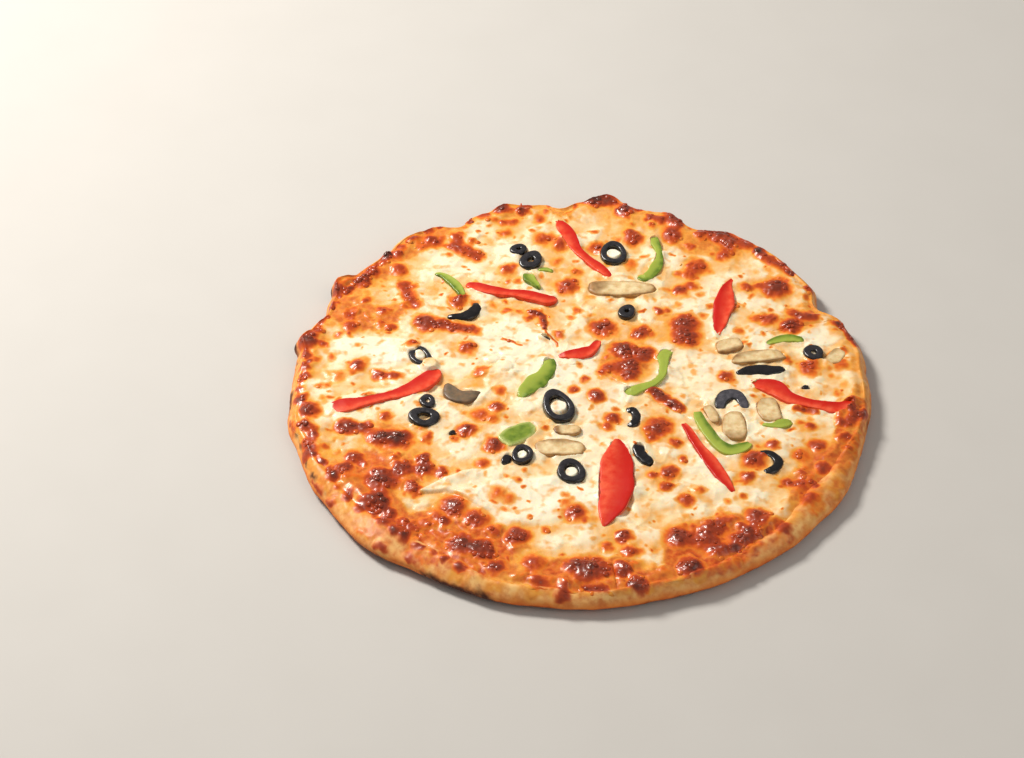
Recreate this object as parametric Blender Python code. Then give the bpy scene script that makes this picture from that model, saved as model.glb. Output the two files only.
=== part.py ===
# Vegetable pizza, cut in eight, with olives, peppers and mushrooms.
# Lengths below are in millimetres; meshes are made in metres. +Z is up, +Y is the far side.
import math

import bmesh
import bpy
from mathutils import Vector
from mathutils.geometry import delaunay_2d_cdt

MM = 0.001
GAP = 0.3

# Dough
RADIUS = 138.6
DOUGH_TOP = 5.0
WIDEST_AT = 3.6
FOOT_INSET = 3.8
SHOULDER_INSET = 1.2
SHOULDER_TOP = 6.9
CREST_TOP = 9.9
CREST_SHARE = 0.62
RIM_SLOPE = 9.5
OUTLINE_STEP = 3.0

# Cheese
CHEESE_TOP = 9.3
CHEESE_EDGE = 0.7
CHEESE_BANK = 1.1
CHEESE_SPACING = 8.2
BLISTER_CLEARANCE = 3.0
BLISTER_RISE = 0.28
BLISTER_SPREAD = 1.15
SEAT_DEPTH = 1.1
SEAT_MARGIN = 0.8

# Knife cuts: they meet a little beyond the middle
CUT_WIDTH = 0.5
CUT_MEETING = (0.0, 13.0)
CUT_ANGLES = (16.0, 57.0, 105.0, 147.0, 191.0, 231.0, 277.0, 325.0)

# Toppings are set out from this point, which is a little off the pizza's middle
GRID_CENTRE = (1.2, -3.5)

# Bumps and dips of the outline: angle, half width in degrees, how far out
RIM_MARKS = (
    (12, 7, 1.8), (27, 6, -6.0), (46, 7, 1.2), (64, 8, -6.0), (85, 5, 4.5), (95, 4, -4.0),
    (107, 4, 1.5), (119, 5, -5.0), (131, 6, 3.5), (150, 4, 5.0), (160, 6, -3.5), (169, 3.5, 3.0),
    (193, 6, 1.6), (227, 12, 2.6), (248, 95, 3.4), (330, 10, 2.0),
)
# Burnt knobs that stand up on the rim: angle, half width in degrees, height
RIM_KNOBS = ((85, 4, 2.2), (107, 3, 1.6), (70, 3, 1.4), (150, 3, 2.0), (169, 2.5, 2.2), (231, 4, 1.8))
# Width of the bare rim: angle, width
RIM_WIDTHS = (
    (0, 5.5), (60, 6.0), (100, 5.0), (170, 5.5), (205, 7.0), (226, 15.0), (248, 10.5),
    (275, 6.5), (300, 8.0), (326, 13.5), (345, 7.0), (360, 5.5),
)

# Browned blisters of the cheese: x, y, radius
BLISTERS = (
    (-75, 100, 5.5), (-57, 92, 5.0), (-37, 78, 5.0), (-6, 67, 5.5), (-20, 102, 5.0), (-103, 75, 5.5),
    (-112, 36, 6.0), (-95, 46, 5.5), (-75, 36, 6.0), (-106, 5, 5.0), (27, 105, 5.5), (47, 109, 6.0),
    (73, 103, 6.5), (58, 84, 6.0), (50, 65, 5.0), (51, 35, 8.5), (12, 36, 6.5), (30, 33, 5.5),
    (97, 69, 7.0), (94, 44, 5.5), (106, 45, 7.0), (111, 8, 5.0), (24, 17, 8.0), (9, -14, 5.0),
    (39, -35, 6.5), (43, -66, 6.0), (79, -66, 5.0), (83, -91, 6.5), (113, -45, 5.5), (108, -70, 6.0),
    (47, -107, 8.0), (62, -101, 7.0), (75, -106, 6.5), (53, -123, 8.0), (22, -107, 5.5),
    (7, -126, 8.5), (0, -92, 5.0), (-26, -108, 6.0), (-47, -113, 9.0), (-55, -89, 7.0),
    (-90, -74, 8.0), (-91, -88, 6.5), (-70, -63, 6.5), (-104, -62, 6.0), (-88, -45, 9.0),
    (-107, -38, 7.0), (-126, -27, 5.0), (-52, -38, 5.0), (-40, -49, 5.0), (-78, -108, 6.0),
)
# Places where the cheese lies thin over the dough: x, y, radius, how much lower
THIN_PLACES = ((-103, 56, 30, 1.0), (-72, -104, 26, 0.9), (112, -62, 26, 0.9), (65, -112, 20, 0.6))

# Olive rings: x, y, width, length, turn, hole share, thickness, tilt
OLIVE_RINGS = (
    (-31.3, 92.9, 8.6, 8.2, 0, 0.22, 3.4, 0),
    (-24.9, 84.4, 10.8, 13.6, -20, 0.26, 3.4, 3),
    (16.6, 91.3, 13.8, 16.0, 0, 0.56, 3.4, 2),
    (-76.4, 11.8, 10.4, 14.4, 34, 0.50, 3.2, 0),
    (-71.3, -20.0, 7.6, 8.8, 10, 0.25, 3.4, 0),
    (-72.3, -31.5, 15.0, 12.2, 0, 0.38, 3.6, 3),
    (-9.0, -22.4, 14.6, 20.4, 16, 0.58, 3.4, 5),
    (-25.2, -54.8, 10.0, 11.6, 0, 0.52, 3.2, 3),
    (-2.2, -65.7, 13.6, 14.6, 12, 0.48, 3.4, 3),
    (23.3, 47.4, 8.6, 9.6, -25, 0.24, 3.2, 0),
    (113.8, 20.0, 9.4, 11.2, 40, 0.24, 3.4, 0),
)
# An olive ring that is open towards the front: points along its middle line, each x, y, width
OPEN_RING = (
    (67.6, -20.4, 4.0), (68.4, -15.4, 6.4), (70.6, -11.6, 7.0), (74.0, -10.5, 6.8),
    (77.2, -12.6, 5.8), (78.8, -16.8, 5.0), (79.4, -20.8, 3.4),
)
# Olive pieces that lie as arcs: points along the middle line, each x, y, width
OLIVE_ARCS = (
    ((-65.2, 41.4, 1.8), (-60.0, 41.2, 4.2), (-54.6, 42.8, 6.4), (-51.2, 47.4, 5.4), (-51.4, 52.4, 2.6)),
    ((22.8, -23.6, 2.2), (26.4, -23.2, 4.0), (28.0, -27.4, 4.4), (26.8, -31.8, 4.0), (23.8, -33.8, 2.2)),
    ((29.6, -46.2, 4.8), (29.2, -50.6, 6.0), (32.0, -55.6, 5.8), (35.2, -58.4, 3.6)),
    ((85.0, -49.6, 2.2), (90.0, -50.6, 3.6), (94.0, -55.2, 4.6), (92.2, -60.4, 4.4), (86.8, -63.0, 2.8)),
    ((75.6, 4.0, 2.4), (80.6, 6.2, 4.8), (86.0, 7.4, 6.4), (92.0, 7.2, 7.6), (97.0, 8.0, 5.0),
     (99.4, 9.2, 2.2)),
)
RED_PEPPERS = (
    ((-12.8, 119.0, 2.4), (-9.2, 112.0, 6.6), (-5.4, 102.7, 7.4), (-1.8, 93.8, 4.6), (3.0, 87.3, 4.6),
     (8.8, 81.2, 5.4), (13.2, 76.2, 4.4), (14.8, 72.8, 2.2)),
    ((-57.2, 66.6, 2.0), (-51.5, 64.3, 5.8), (-44.0, 61.5, 6.6), (-36.0, 59.8, 5.6), (-28.5, 59.0, 6.6),
     (-21.5, 57.0, 6.6), (-16.0, 55.6, 7.0), (-10.6, 57.2, 3.0)),
    ((-118.4, -25.6, 5.0), (-111.0, -23.9, 8.8), (-103.0, -21.6, 6.6), (-95.6, -18.8, 5.8),
     (-88.0, -16.0, 7.0), (-80.6, -12.2, 8.8), (-73.8, -6.4, 10.2), (-69.2, 0.0, 7.0), (-68.8, 4.6, 2.0)),
    ((-10.4, 14.2, 1.6), (-4.6, 15.2, 5.4), (1.6, 16.2, 7.0), (6.4, 19.2, 5.6), (8.8, 23.4, 4.4),
     (10.0, 26.6, 1.8)),
    ((76.4, 75.6, 1.4), (73.4, 68.4, 5.0), (72.2, 61.0, 8.2), (71.2, 54.0, 10.0), (69.8, 46.5, 9.0),
     (68.6, 38.5, 6.0), (67.0, 31.0, 1.8)),
    ((80.6, -2.2, 4.0), (88.4, -3.2, 7.2), (94.6, -5.8, 9.2), (100.6, -12.0, 7.4), (108.6, -15.2, 5.6),
     (116.4, -17.2, 6.4), (123.2, -18.2, 7.0), (128.4, -15.0, 4.4), (131.0, -11.4, 1.8)),
    ((18.8, -40.8, 1.6), (19.4, -49.0, 9.6), (18.9, -58.0, 14.2), (18.9, -67.0, 16.8), (18.8, -75.0, 17.0),
     (17.6, -83.0, 14.6), (15.4, -91.4, 10.0), (12.8, -100.4, 2.2)),
    ((49.6, -29.8, 1.8), (52.6, -36.0, 4.0), (56.0, -44.0, 4.8), (60.2, -52.4, 6.0), (64.6, -60.4, 6.2),
     (68.6, -68.4, 5.0), (73.4, -77.0, 1.8)),
)
GREEN_PEPPERS = (
    ((-73.0, 73.8, 1.6), (-68.5, 72.0, 3.2), (-63.0, 66.5, 4.4), (-59.4, 60.8, 4.4), (-57.8, 55.8, 3.2)),
    ((-25.3, 75.2, 3.6), (-25.4, 71.6, 6.4), (-22.4, 67.2, 3.8), (-19.8, 63.8, 1.6)),
    ((37.2, 107.0, 2.6), (37.2, 102.0, 4.6), (39.2, 95.0, 3.2), (39.6, 88.0, 4.4), (38.0, 82.0, 6.4),
     (35.4, 76.4, 5.6), (32.2, 73.6, 4.8), (28.4, 75.4, 2.4)),
    ((-14.6, 12.8, 4.6), (-13.8, 7.4, 7.0), (-16.2, 0.4, 8.0), (-20.6, -5.4, 9.2), (-25.0, -11.0, 7.6),
     (-27.4, -16.0, 2.4)),
    ((46.2, 21.0, 1.6), (41.4, 16.8, 6.4), (41.2, 9.6, 4.4), (40.2, 1.8, 4.0), (36.2, -4.0, 4.0),
     (30.0, -7.4, 5.0), (25.4, -10.0, 5.6), (21.8, -8.0, 2.4)),
    ((56.6, -21.6, 3.0), (58.0, -28.0, 4.8), (61.4, -36.0, 5.6), (66.0, -44.2, 6.2), (71.6, -48.6, 6.4),
     (77.6, -46.6, 5.6), (82.0, -42.4, 2.4)),
    ((90.0, 25.6, 1.8), (95.6, 28.4, 3.8), (101.6, 30.2, 5.2), (106.6, 29.6, 4.4), (109.4, 28.4, 2.2)),
    ((87.0, -30.4, 1.8), (92.0, -31.6, 3.2), (97.4, -30.0, 5.4), (101.8, -28.6, 2.4)),
)
# Flat pepper piece and mushroom slices: x, y, length, width, turn, bow of the long axis,
# how far the width falls off to the right end, thickness
PEPPER_PLATE = (-27.8, -40.2, 20.2, 11.2, 36, 0.0, 0.0, 2.2)
MUSHROOMS = (
    (21.2, 65.2, 35.4, 10.2, 1, 0.0, 0.26, 2.8),
    (-56.2, -13.8, 18.0, 10.6, -18, 3.0, -0.05, 2.8),
    (73.4, 24.6, 14.0, 9.4, 14, 0.0, 0.15, 2.6),
    (87.0, 16.7, 27.0, 8.0, 8, -1.0, 0.1, 2.8),
    (74.2, -31.8, 18.6, 12.0, 90, 0.0, 0.1, 2.8),
    (63.6, -24.2, 12.0, 6.0, -70, 0.0, 0.0, 2.6),
    (90.8, -20.4, 16.0, 11.4, 98, 0.0, 0.1, 2.8),
    (-4.4, -37.4, 12.8, 6.4, 4, 0.0, 0.0, 2.8),
    (-7.4, -49.2, 22.6, 11.0, 0, 0.0, 0.12, 2.6),
    (124.4, 18.4, 12.0, 7.6, 60, 0.0, 0.0, 2.4),
)
PEPPER_THICKNESS = 2.7
ARC_THICKNESS = 3.2
STRIP_SECTIONS = 9
SEAT_SECTIONS = 7
RING_STEPS = 14
PLATE_STEPS = 14
SEAT_STEPS = 10
END_TAPER = 0.45

# Base colour and roughness
MATERIALS = {
    "baked_dough": ((0.62, 0.33, 0.11), 0.70),
    "melted_cheese": ((0.86, 0.68, 0.36), 0.42),
    "black_olive": ((0.016, 0.012, 0.014), 0.28),
    "red_pepper": ((0.62, 0.045, 0.012), 0.30),
    "green_pepper": ((0.17, 0.27, 0.03), 0.34),
    "mushroom": ((0.56, 0.42, 0.22), 0.50),
}


def clear_scene():
    for item in list(bpy.data.objects):
        bpy.data.objects.remove(item, do_unlink=True)


def make_materials():
    made = {}
    for name, (colour, roughness) in MATERIALS.items():
        material = bpy.data.materials.new(name)
        material.use_nodes = True
        shader = material.node_tree.nodes["Principled BSDF"]
        shader.inputs["Base Color"].default_value = (*colour, 1.0)
        shader.inputs["Roughness"].default_value = roughness
        shader.inputs["Metallic"].default_value = 0.0
        made[name] = material
    return made


def place(x, y):
    """A point of the toppings' grid, from the pizza's middle."""
    return Vector((x - GRID_CENTRE[0], y - GRID_CENTRE[1]))


def hump(distance, reach):
    """One at the middle, falling smoothly to nothing at the given reach."""
    if distance >= reach:
        return 0.0
    return (1.0 - (distance / reach) ** 2) ** 2


def turn_between(first, second):
    """Smallest angle between two directions in degrees."""
    return abs((first - second + 180.0) % 360.0 - 180.0)


def outline_radius(angle):
    radius = RADIUS
    for middle, half_width, out in RIM_MARKS:
        radius += out * hump(turn_between(angle, middle), half_width)
    a = math.radians(angle)
    return radius + 0.5 * math.sin(7 * a + 1.0) + 0.35 * math.sin(17 * a + 2.0)


def rim_width(angle):
    angle %= 360.0
    for (start, from_width), (end, to_width) in zip(RIM_WIDTHS, RIM_WIDTHS[1:]):
        if start <= angle <= end:
            share = (angle - start) / (end - start)
            width = from_width + (to_width - from_width) * share
    a = math.radians(angle)
    return width + 0.7 * math.sin(11 * a) + 0.4 * math.sin(19 * a + 1.0)


def crest_height(angle):
    a = math.radians(angle)
    height = CREST_TOP + 0.4 * math.sin(9 * a + 0.5) + 0.3 * math.sin(21 * a)
    for middle, half_width, up in RIM_KNOBS:
        height += up * hump(turn_between(angle, middle), half_width * 1.6)
    return height


def edge_height(angle):
    """Height of the dough where the cheese ends on the rim."""
    return crest_height(angle) - 1.0


def cheese_height(point):
    """Height of the cheese above the table, away from its edge."""
    height = CHEESE_TOP + 0.22 * math.sin(point.x / 9.0) * math.cos(point.y / 11.0)
    for x, y, reach, lower in THIN_PLACES:
        height -= lower * hump((point - place(x, y)).length, reach)
    for x, y, radius in BLISTERS:
        height += BLISTER_RISE * radius * hump((point - place(x, y)).length, radius * BLISTER_SPREAD)
    angle = math.degrees(math.atan2(point.y, point.x))
    inside = outline_radius(angle) - rim_width(angle) - point.length
    return height + CHEESE_BANK * hump(max(inside, 0.0), RIM_SLOPE)


def new_part(name, vertices, faces, material, collection):
    mesh = bpy.data.meshes.new(name)
    mesh.from_pydata([Vector(v) * MM for v in vertices], [], faces)
    mesh.materials.append(material)
    mesh.validate()
    shell = bmesh.new()
    shell.from_mesh(mesh)
    bmesh.ops.recalc_face_normals(shell, faces=shell.faces)
    shell.to_mesh(mesh)
    shell.free()
    mesh.shade_smooth()
    mesh.set_sharp_from_angle(angle=math.radians(40.0))
    part = bpy.data.objects.new(name, mesh)
    collection.objects.link(part)
    return part


def loft(rings, closed=False):
    """Vertices and faces of a skin over closed rings of equal counts, capped or joined end to end."""
    count = len(rings[0])
    vertices = [point for ring in rings for point in ring]
    spans = len(rings) if closed else len(rings) - 1
    faces = []
    for row in range(spans):
        here = row * count
        there = ((row + 1) % len(rings)) * count
        for k in range(count):
            after = (k + 1) % count
            faces.append((here + k, here + after, there + after, there + k))
    if not closed:
        last = (len(rings) - 1) * count
        faces.append(tuple(range(count - 1, -1, -1)))
        faces.append(tuple(range(last, last + count)))
    return vertices, faces


def smooth_path(points, share):
    """A point on the smooth curve through the given points, each of x, y and width."""
    spans = len(points) - 1
    span = min(int(share * spans), spans - 1)
    t = share * spans - span
    p1 = Vector(points[span])
    p2 = Vector(points[span + 1])
    p0 = Vector(points[span - 1]) if span > 0 else 2 * p1 - p2
    p3 = Vector(points[span + 2]) if span + 2 <= spans else 2 * p2 - p1
    return 0.5 * (2 * p1 + (p2 - p0) * t + (2 * p0 - 5 * p1 + 4 * p2 - p3) * t * t
                  + (3 * p1 - p0 - 3 * p2 + p3) * t ** 3)


# Footprints of the toppings, which the cheese is pressed down under
seats = []


def bed_height():
    return CHEESE_TOP - SEAT_DEPTH + GAP


def strip_sections(points, sections):
    """Middle, sideways direction and width of the crosswise sections of a strip."""
    found = []
    for k in range(sections):
        share = k / (sections - 1)
        here = smooth_path(points, share)
        ahead = smooth_path(points, min(share + 0.01, 1.0))
        behind = smooth_path(points, max(share - 0.01, 0.0))
        along = (ahead - behind).to_2d().normalized()
        found.append((place(here.x, here.y), Vector((-along.y, along.x)), here.z))
    return found


def add_strip(name, points, thickness, arch, material, collection):
    """A curved strip lying on its flat side, its top rounded and its middle arched up a little."""
    rings = []
    count = STRIP_SECTIONS
    for k, (middle, side, width) in enumerate(strip_sections(points, count)):
        share = k / (count - 1)
        body = min(1.0, END_TAPER + 3.0 * min(share, 1.0 - share))
        base = bed_height() + arch * math.sin(math.pi * share)
        depth = thickness * body
        section = ((0.40, 0.0), (0.5, 0.45), (0.30, 0.92), (-0.30, 0.92), (-0.5, 0.45), (-0.40, 0.0))
        ring = []
        for across, up in section:
            point = middle + side * (across * width)
            ring.append((point.x, point.y, base + up * depth))
        rings.append(ring)
    vertices, faces = loft(rings)
    new_part(name, vertices, faces, material, collection)
    seat_left = []
    seat_right = []
    ends = strip_sections(points, SEAT_SECTIONS)
    for k, (middle, side, width) in enumerate(ends):
        along = Vector((side.y, -side.x))
        beyond = (k == len(ends) - 1) - (k == 0)
        at = middle + along * beyond * SEAT_MARGIN
        seat_left.append(at + side * (width / 2 + SEAT_MARGIN))
        seat_right.append(at - side * (width / 2 + SEAT_MARGIN))
    seats.append(seat_left + seat_right[::-1])


def add_ring(name, x, y, width, length, turn, hole, thickness, tilt, material, collection):
    """An olive slice: a rounded ring, a little uneven, tilted on the cheese."""
    middle = place(x, y)
    turned = math.radians(turn)
    lean = math.tan(math.radians(tilt))
    section = ((1.0, 0.45), (0.86, 0.94), (0.40, 1.0), (0.0, 0.55), (0.30, 0.0), (0.84, 0.0))
    rings = []
    for k in range(RING_STEPS):
        a = 2 * math.pi * k / RING_STEPS
        uneven = 1.0 + 0.05 * math.sin(2 * a + x) + 0.04 * math.sin(3 * a + y)
        ring = []
        for out, up in section:
            reach = hole + (1.0 - hole) * out
            across = width / 2 * reach * math.cos(a) * uneven
            ahead = length / 2 * reach * math.sin(a) * uneven
            px = middle.x + across * math.cos(turned) - ahead * math.sin(turned)
            py = middle.y + across * math.sin(turned) + ahead * math.cos(turned)
            rise = (length / 2 * 1.1 + ahead) * lean
            ring.append((px, py, bed_height() + rise + up * thickness))
        rings.append(ring)
    vertices, faces = loft(rings, closed=True)
    new_part(name, vertices, faces, material, collection)
    seat = []
    for k in range(SEAT_STEPS):
        a = 2 * math.pi * k / SEAT_STEPS
        across = (width * 0.545 + SEAT_MARGIN) * math.cos(a)
        ahead = (length * 0.545 + SEAT_MARGIN) * math.sin(a)
        seat.append(middle + Vector((across * math.cos(turned) - ahead * math.sin(turned),
                                     across * math.sin(turned) + ahead * math.cos(turned))))
    seats.append(seat)


def plate_outline(x, y, length, width, turn, bow, taper, steps, grow):
    """Outline of a thin slice: a blunt oval, its long axis bowed sideways."""
    middle = place(x, y)
    turned = math.radians(turn)
    outline = []
    for k in range(steps):
        a = 2 * math.pi * k / steps
        blunt = 1.0 + 0.07 * math.cos(4 * a + 0.5) + 0.04 * math.sin(3 * a + x)
        along = (length / 2 + grow) * math.cos(a) * blunt
        across = (width / 2 + grow) * math.sin(a) * blunt * (1.0 - taper * math.cos(a))
        across += bow * ((2 * along / length) ** 2 - 0.4)
        outline.append(middle + Vector((along * math.cos(turned) - across * math.sin(turned),
                                        along * math.sin(turned) + across * math.cos(turned))))
    return outline


def add_plate(name, x, y, length, width, turn, bow, taper, thickness, material, collection):
    """A thin slice with rounded edges, its top a little domed."""
    levels = ((0.72, 0.0), (1.0, 0.42), (0.86, 0.90), (0.45, 1.06))
    outline = plate_outline(x, y, length, width, turn, bow, taper, PLATE_STEPS, 0.0)
    centre = sum(outline, Vector((0.0, 0.0))) / len(outline)
    rings = []
    for share, up in levels:
        ring = []
        for point in outline:
            inner = centre + (point - centre) * share
            ring.append((inner.x, inner.y, bed_height() + up * thickness))
        rings.append(ring)
    vertices, faces = loft(rings)
    new_part(name, vertices, faces, material, collection)
    seats.append(plate_outline(x, y, length, width, turn, bow, taper, SEAT_STEPS, SEAT_MARGIN))


def inside(point, polygon, margin=0.02):
    """Whether a point lies in a polygon or within the margin of its edge."""
    odd = False
    for first, second in zip(polygon, polygon[1:] + polygon[:1]):
        edge = second - first
        share = max(0.0, min(1.0, (point - first).dot(edge) / edge.length_squared))
        if (point - first - edge * share).length < margin:
            return True
        if (first.y > point.y) != (second.y > point.y):
            if point.x < first.x + (point.y - first.y) * edge.x / edge.y:
                odd = not odd
    return odd


def pressed_height(point):
    if any(inside(point, seat) for seat in seats):
        return CHEESE_TOP - SEAT_DEPTH
    return cheese_height(point)


def slice_tip(start, end):
    """Where the two cut faces of a slice meet, half a cut's width in from the knife lines."""
    half = math.radians(((end - start) % 360.0) / 2)
    middle = math.radians(start) + half
    reach = CUT_WIDTH / 2 / math.sin(half)
    return Vector(CUT_MEETING) + Vector((math.cos(middle), math.sin(middle))) * reach


def ray_to_outline(tip, direction, inset):
    """The point where a ray from the tip comes to the outline, moved back by an inset."""
    near = 0.0
    far = 2 * RADIUS
    for _ in range(40):
        reach = (near + far) / 2
        point = tip + direction * reach
        angle = math.degrees(math.atan2(point.y, point.x))
        if point.length < outline_radius(angle):
            near = reach
        else:
            far = reach
    return tip + direction * (near - inset)


def slice_rays(start, end):
    """The tip of a slice, and the directions from it to points along the outline."""
    tip = slice_tip(start, end)
    span = (end - start) % 360.0
    steps = round(span / OUTLINE_STEP)
    directions = []
    for k in range(steps + 1):
        a = math.radians(start + span * k / steps)
        directions.append(Vector((math.cos(a), math.sin(a))))
    return tip, directions


def bearing(point):
    return math.degrees(math.atan2(point.y, point.x))


def rim_rows(tip, directions):
    """Rows of the dough's top from the flat middle out to the bare rim, as x, y and z."""
    outer = [ray_to_outline(tip, d, 0.0) for d in directions]
    flat = []
    edge = []
    for point, direction in zip(outer, directions):
        width = rim_width(bearing(point))
        inner = point - direction * (width + RIM_SLOPE)
        rise = point - direction * width
        flat.append((inner.x, inner.y, DOUGH_TOP))
        edge.append((rise.x, rise.y, edge_height(bearing(point))))
    return outer, flat, edge


def fill_between(row, after, faces):
    """Triangles between two rows, split the same way wherever two parts lie on each other."""
    for k in range(len(row) - 1):
        faces.append((row[k], after[k], after[k + 1]))
        faces.append((row[k], after[k + 1], row[k + 1]))


def add_crust(name, start, end, material, collection):
    """One slice of dough: flat below and within, its rim raised and rounded."""
    tip, directions = slice_rays(start, end)
    outer, flat, edge = rim_rows(tip, directions)
    crest = []
    shoulder = []
    widest = []
    foot = []
    for point, direction in zip(outer, directions):
        angle = bearing(point)
        width = rim_width(angle)
        rows = (
            (crest, width * CREST_SHARE, crest_height(angle)),
            (shoulder, SHOULDER_INSET, SHOULDER_TOP + 0.4 * (crest_height(angle) - CREST_TOP)),
            (widest, 0.0, WIDEST_AT),
            (foot, FOOT_INSET, 0.0),
        )
        for row, inset, height in rows:
            at = point - direction * inset
            row.append((at.x, at.y, height))
    vertices = []
    numbered = []
    for row in (flat, edge, crest, shoulder, widest, foot):
        numbered.append(list(range(len(vertices), len(vertices) + len(row))))
        vertices += row
    tip_top = len(vertices)
    tip_foot = tip_top + 1
    vertices += [(tip.x, tip.y, DOUGH_TOP), (tip.x, tip.y, 0.0)]
    faces = [(tip_top, *numbered[0]), (tip_foot, *reversed(numbered[-1]))]
    for row, after in zip(numbered, numbered[1:]):
        fill_between(row, after, faces)
    first_side = [row[0] for row in numbered]
    last_side = [row[-1] for row in numbered]
    faces.append((tip_foot, *reversed(first_side), tip_top))
    faces.append((tip_top, *last_side, tip_foot))
    new_part(name, vertices, faces, material, collection)


def cheese_points(tip, directions, edge):
    """Inner points of a cheese slice: rows of even spacing, closer round each blister."""
    boundary = [Vector(point[:2]) for point in edge]
    normals = (Vector((-directions[0].y, directions[0].x)), Vector((directions[-1].y, -directions[-1].x)))

    def well_inside(point, margin):
        if any((point - tip).dot(normal) < margin for normal in normals):
            return False
        return inside(point, [tip] + boundary) and min((point - b).length for b in boundary) > margin

    def near_seat(point):
        return any(inside(point, seat, 1.2) for seat in seats)

    found = []
    centres = [(place(x, y), radius) for x, y, radius in BLISTERS]
    for centre, radius in centres:
        around = [centre]
        for k in range(7):
            a = 2 * math.pi * k / 7
            around.append(centre + Vector((math.cos(a), math.sin(a))) * radius * 0.95)
        for point in around:
            if well_inside(point, 1.5) and not near_seat(point):
                if all((point - other).length > 2.0 for other in found):
                    found.append(point)
    longest = max((b - tip).length for b in boundary)
    rows = round(longest / CHEESE_SPACING)
    for row in range(1, rows):
        reach = longest * row / rows
        spread = directions[0].angle(directions[-1])
        columns = max(1, round(reach * spread / CHEESE_SPACING))
        for column in range(1, columns):
            turn = spread * (column + 0.35 * (row % 2)) / columns
            point = tip + Vector((directions[0].x * math.cos(turn) - directions[0].y * math.sin(turn),
                                  directions[0].x * math.sin(turn) + directions[0].y * math.cos(turn))) * reach
            clear = all((point - c).length > r + BLISTER_CLEARANCE for c, r in centres)
            if clear and well_inside(point, 3.5) and not near_seat(point):
                found.append(point)
    return found


def add_cheese(name, start, end, material, collection):
    """One slice of melted cheese, 0.3 mm over the dough, pressed down under its toppings."""
    tip, directions = slice_rays(start, end)
    _, flat, edge = rim_rows(tip, directions)
    boundary = [tip]
    for point in (Vector(edge[0][:2]), Vector(edge[-1][:2])):
        steps = round((point - tip).length / CHEESE_SPACING)
        side = [tip + (point - tip) * k / steps for k in range(1, steps)]
        if point == Vector(edge[0][:2]):
            boundary += side + [Vector(p[:2]) for p in edge]
        else:
            boundary += side[::-1]
    points = list(boundary)
    edges = [(k, (k + 1) % len(boundary)) for k in range(len(boundary))]
    for seat in seats:
        if any(inside(corner, boundary) for corner in seat):
            first = len(points)
            points += seat
            edges += [(first + k, first + (k + 1) % len(seat)) for k in range(len(seat))]
    points += cheese_points(tip, directions, edge)
    found, _, triangles, *_ = delaunay_2d_cdt(points, edges, [], 1, 1e-4)
    kept = []
    for triangle in triangles:
        centre = sum((found[k] for k in triangle), Vector((0.0, 0.0))) / 3
        if inside(centre, boundary, 0.0):
            kept.append(triangle)
    used = sorted({k for triangle in kept for k in triangle})
    index = {old: new for new, old in enumerate(used)}
    vertices = []
    rim = {}
    for old in used:
        point = found[old]
        height = pressed_height(point)
        for k, corner in enumerate(edge):
            if (point - Vector(corner[:2])).length < 1e-3:
                height = corner[2] + GAP + CHEESE_EDGE
                rim[k] = index[old]
        vertices.append((point.x, point.y, height))
    faces = []
    for triangle in kept:
        a, b, c = (found[k] for k in triangle)
        turned = (b - a).cross(c - a)
        order = triangle if turned > 0 else triangle[::-1]
        faces.append(tuple(index[k] for k in order))

    def along_side(direction):
        side = Vector((-direction.y, direction.x))
        on_side = []
        for old in used:
            offset = found[old] - tip
            if abs(offset.dot(side)) < 2e-3 and offset.dot(direction) > -1e-3:
                on_side.append((offset.dot(direction), index[old]))
        return [number for _, number in sorted(on_side)]

    flat_row = list(range(len(vertices), len(vertices) + len(flat)))
    vertices += [(x, y, z + GAP) for x, y, z in flat]
    edge_row = list(range(len(vertices), len(vertices) + len(edge)))
    vertices += [(x, y, z + GAP) for x, y, z in edge]
    tip_foot = len(vertices)
    vertices.append((tip.x, tip.y, DOUGH_TOP + GAP))
    faces.append((tip_foot, *reversed(flat_row)))
    fill_between(flat_row, edge_row, faces)
    top_row = [rim[k] for k in range(len(edge))]
    fill_between(top_row, edge_row, faces)
    first_side = along_side(directions[0])
    last_side = along_side(directions[-1])
    faces.append((tip_foot, flat_row[0], edge_row[0], *reversed(first_side)))
    faces.append((*last_side, edge_row[-1], flat_row[-1], tip_foot))
    new_part(name, vertices, faces, material, collection)


def add_toppings(materials, collection):
    for k, ring in enumerate(OLIVE_RINGS):
        add_ring(f"olive_ring_{k + 1}", *ring, materials["black_olive"], collection)
    name = f"olive_ring_{len(OLIVE_RINGS) + 1}"
    add_strip(name, OPEN_RING, ARC_THICKNESS, 0.0, materials["black_olive"], collection)
    for k, points in enumerate(OLIVE_ARCS):
        add_strip(f"olive_arc_{k + 1}", points, ARC_THICKNESS, 0.0, materials["black_olive"], collection)
    for k, points in enumerate(RED_PEPPERS):
        add_strip(f"red_pepper_{k + 1}", points, PEPPER_THICKNESS, 0.5, materials["red_pepper"], collection)
    for k, points in enumerate(GREEN_PEPPERS):
        name = f"green_pepper_{k + 1}"
        add_strip(name, points, PEPPER_THICKNESS, 0.4, materials["green_pepper"], collection)
    name = f"green_pepper_{len(GREEN_PEPPERS) + 1}"
    add_plate(name, *PEPPER_PLATE, materials["green_pepper"], collection)
    for k, plate in enumerate(MUSHROOMS):
        add_plate(f"mushroom_{k + 1}", *plate, materials["mushroom"], collection)


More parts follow.
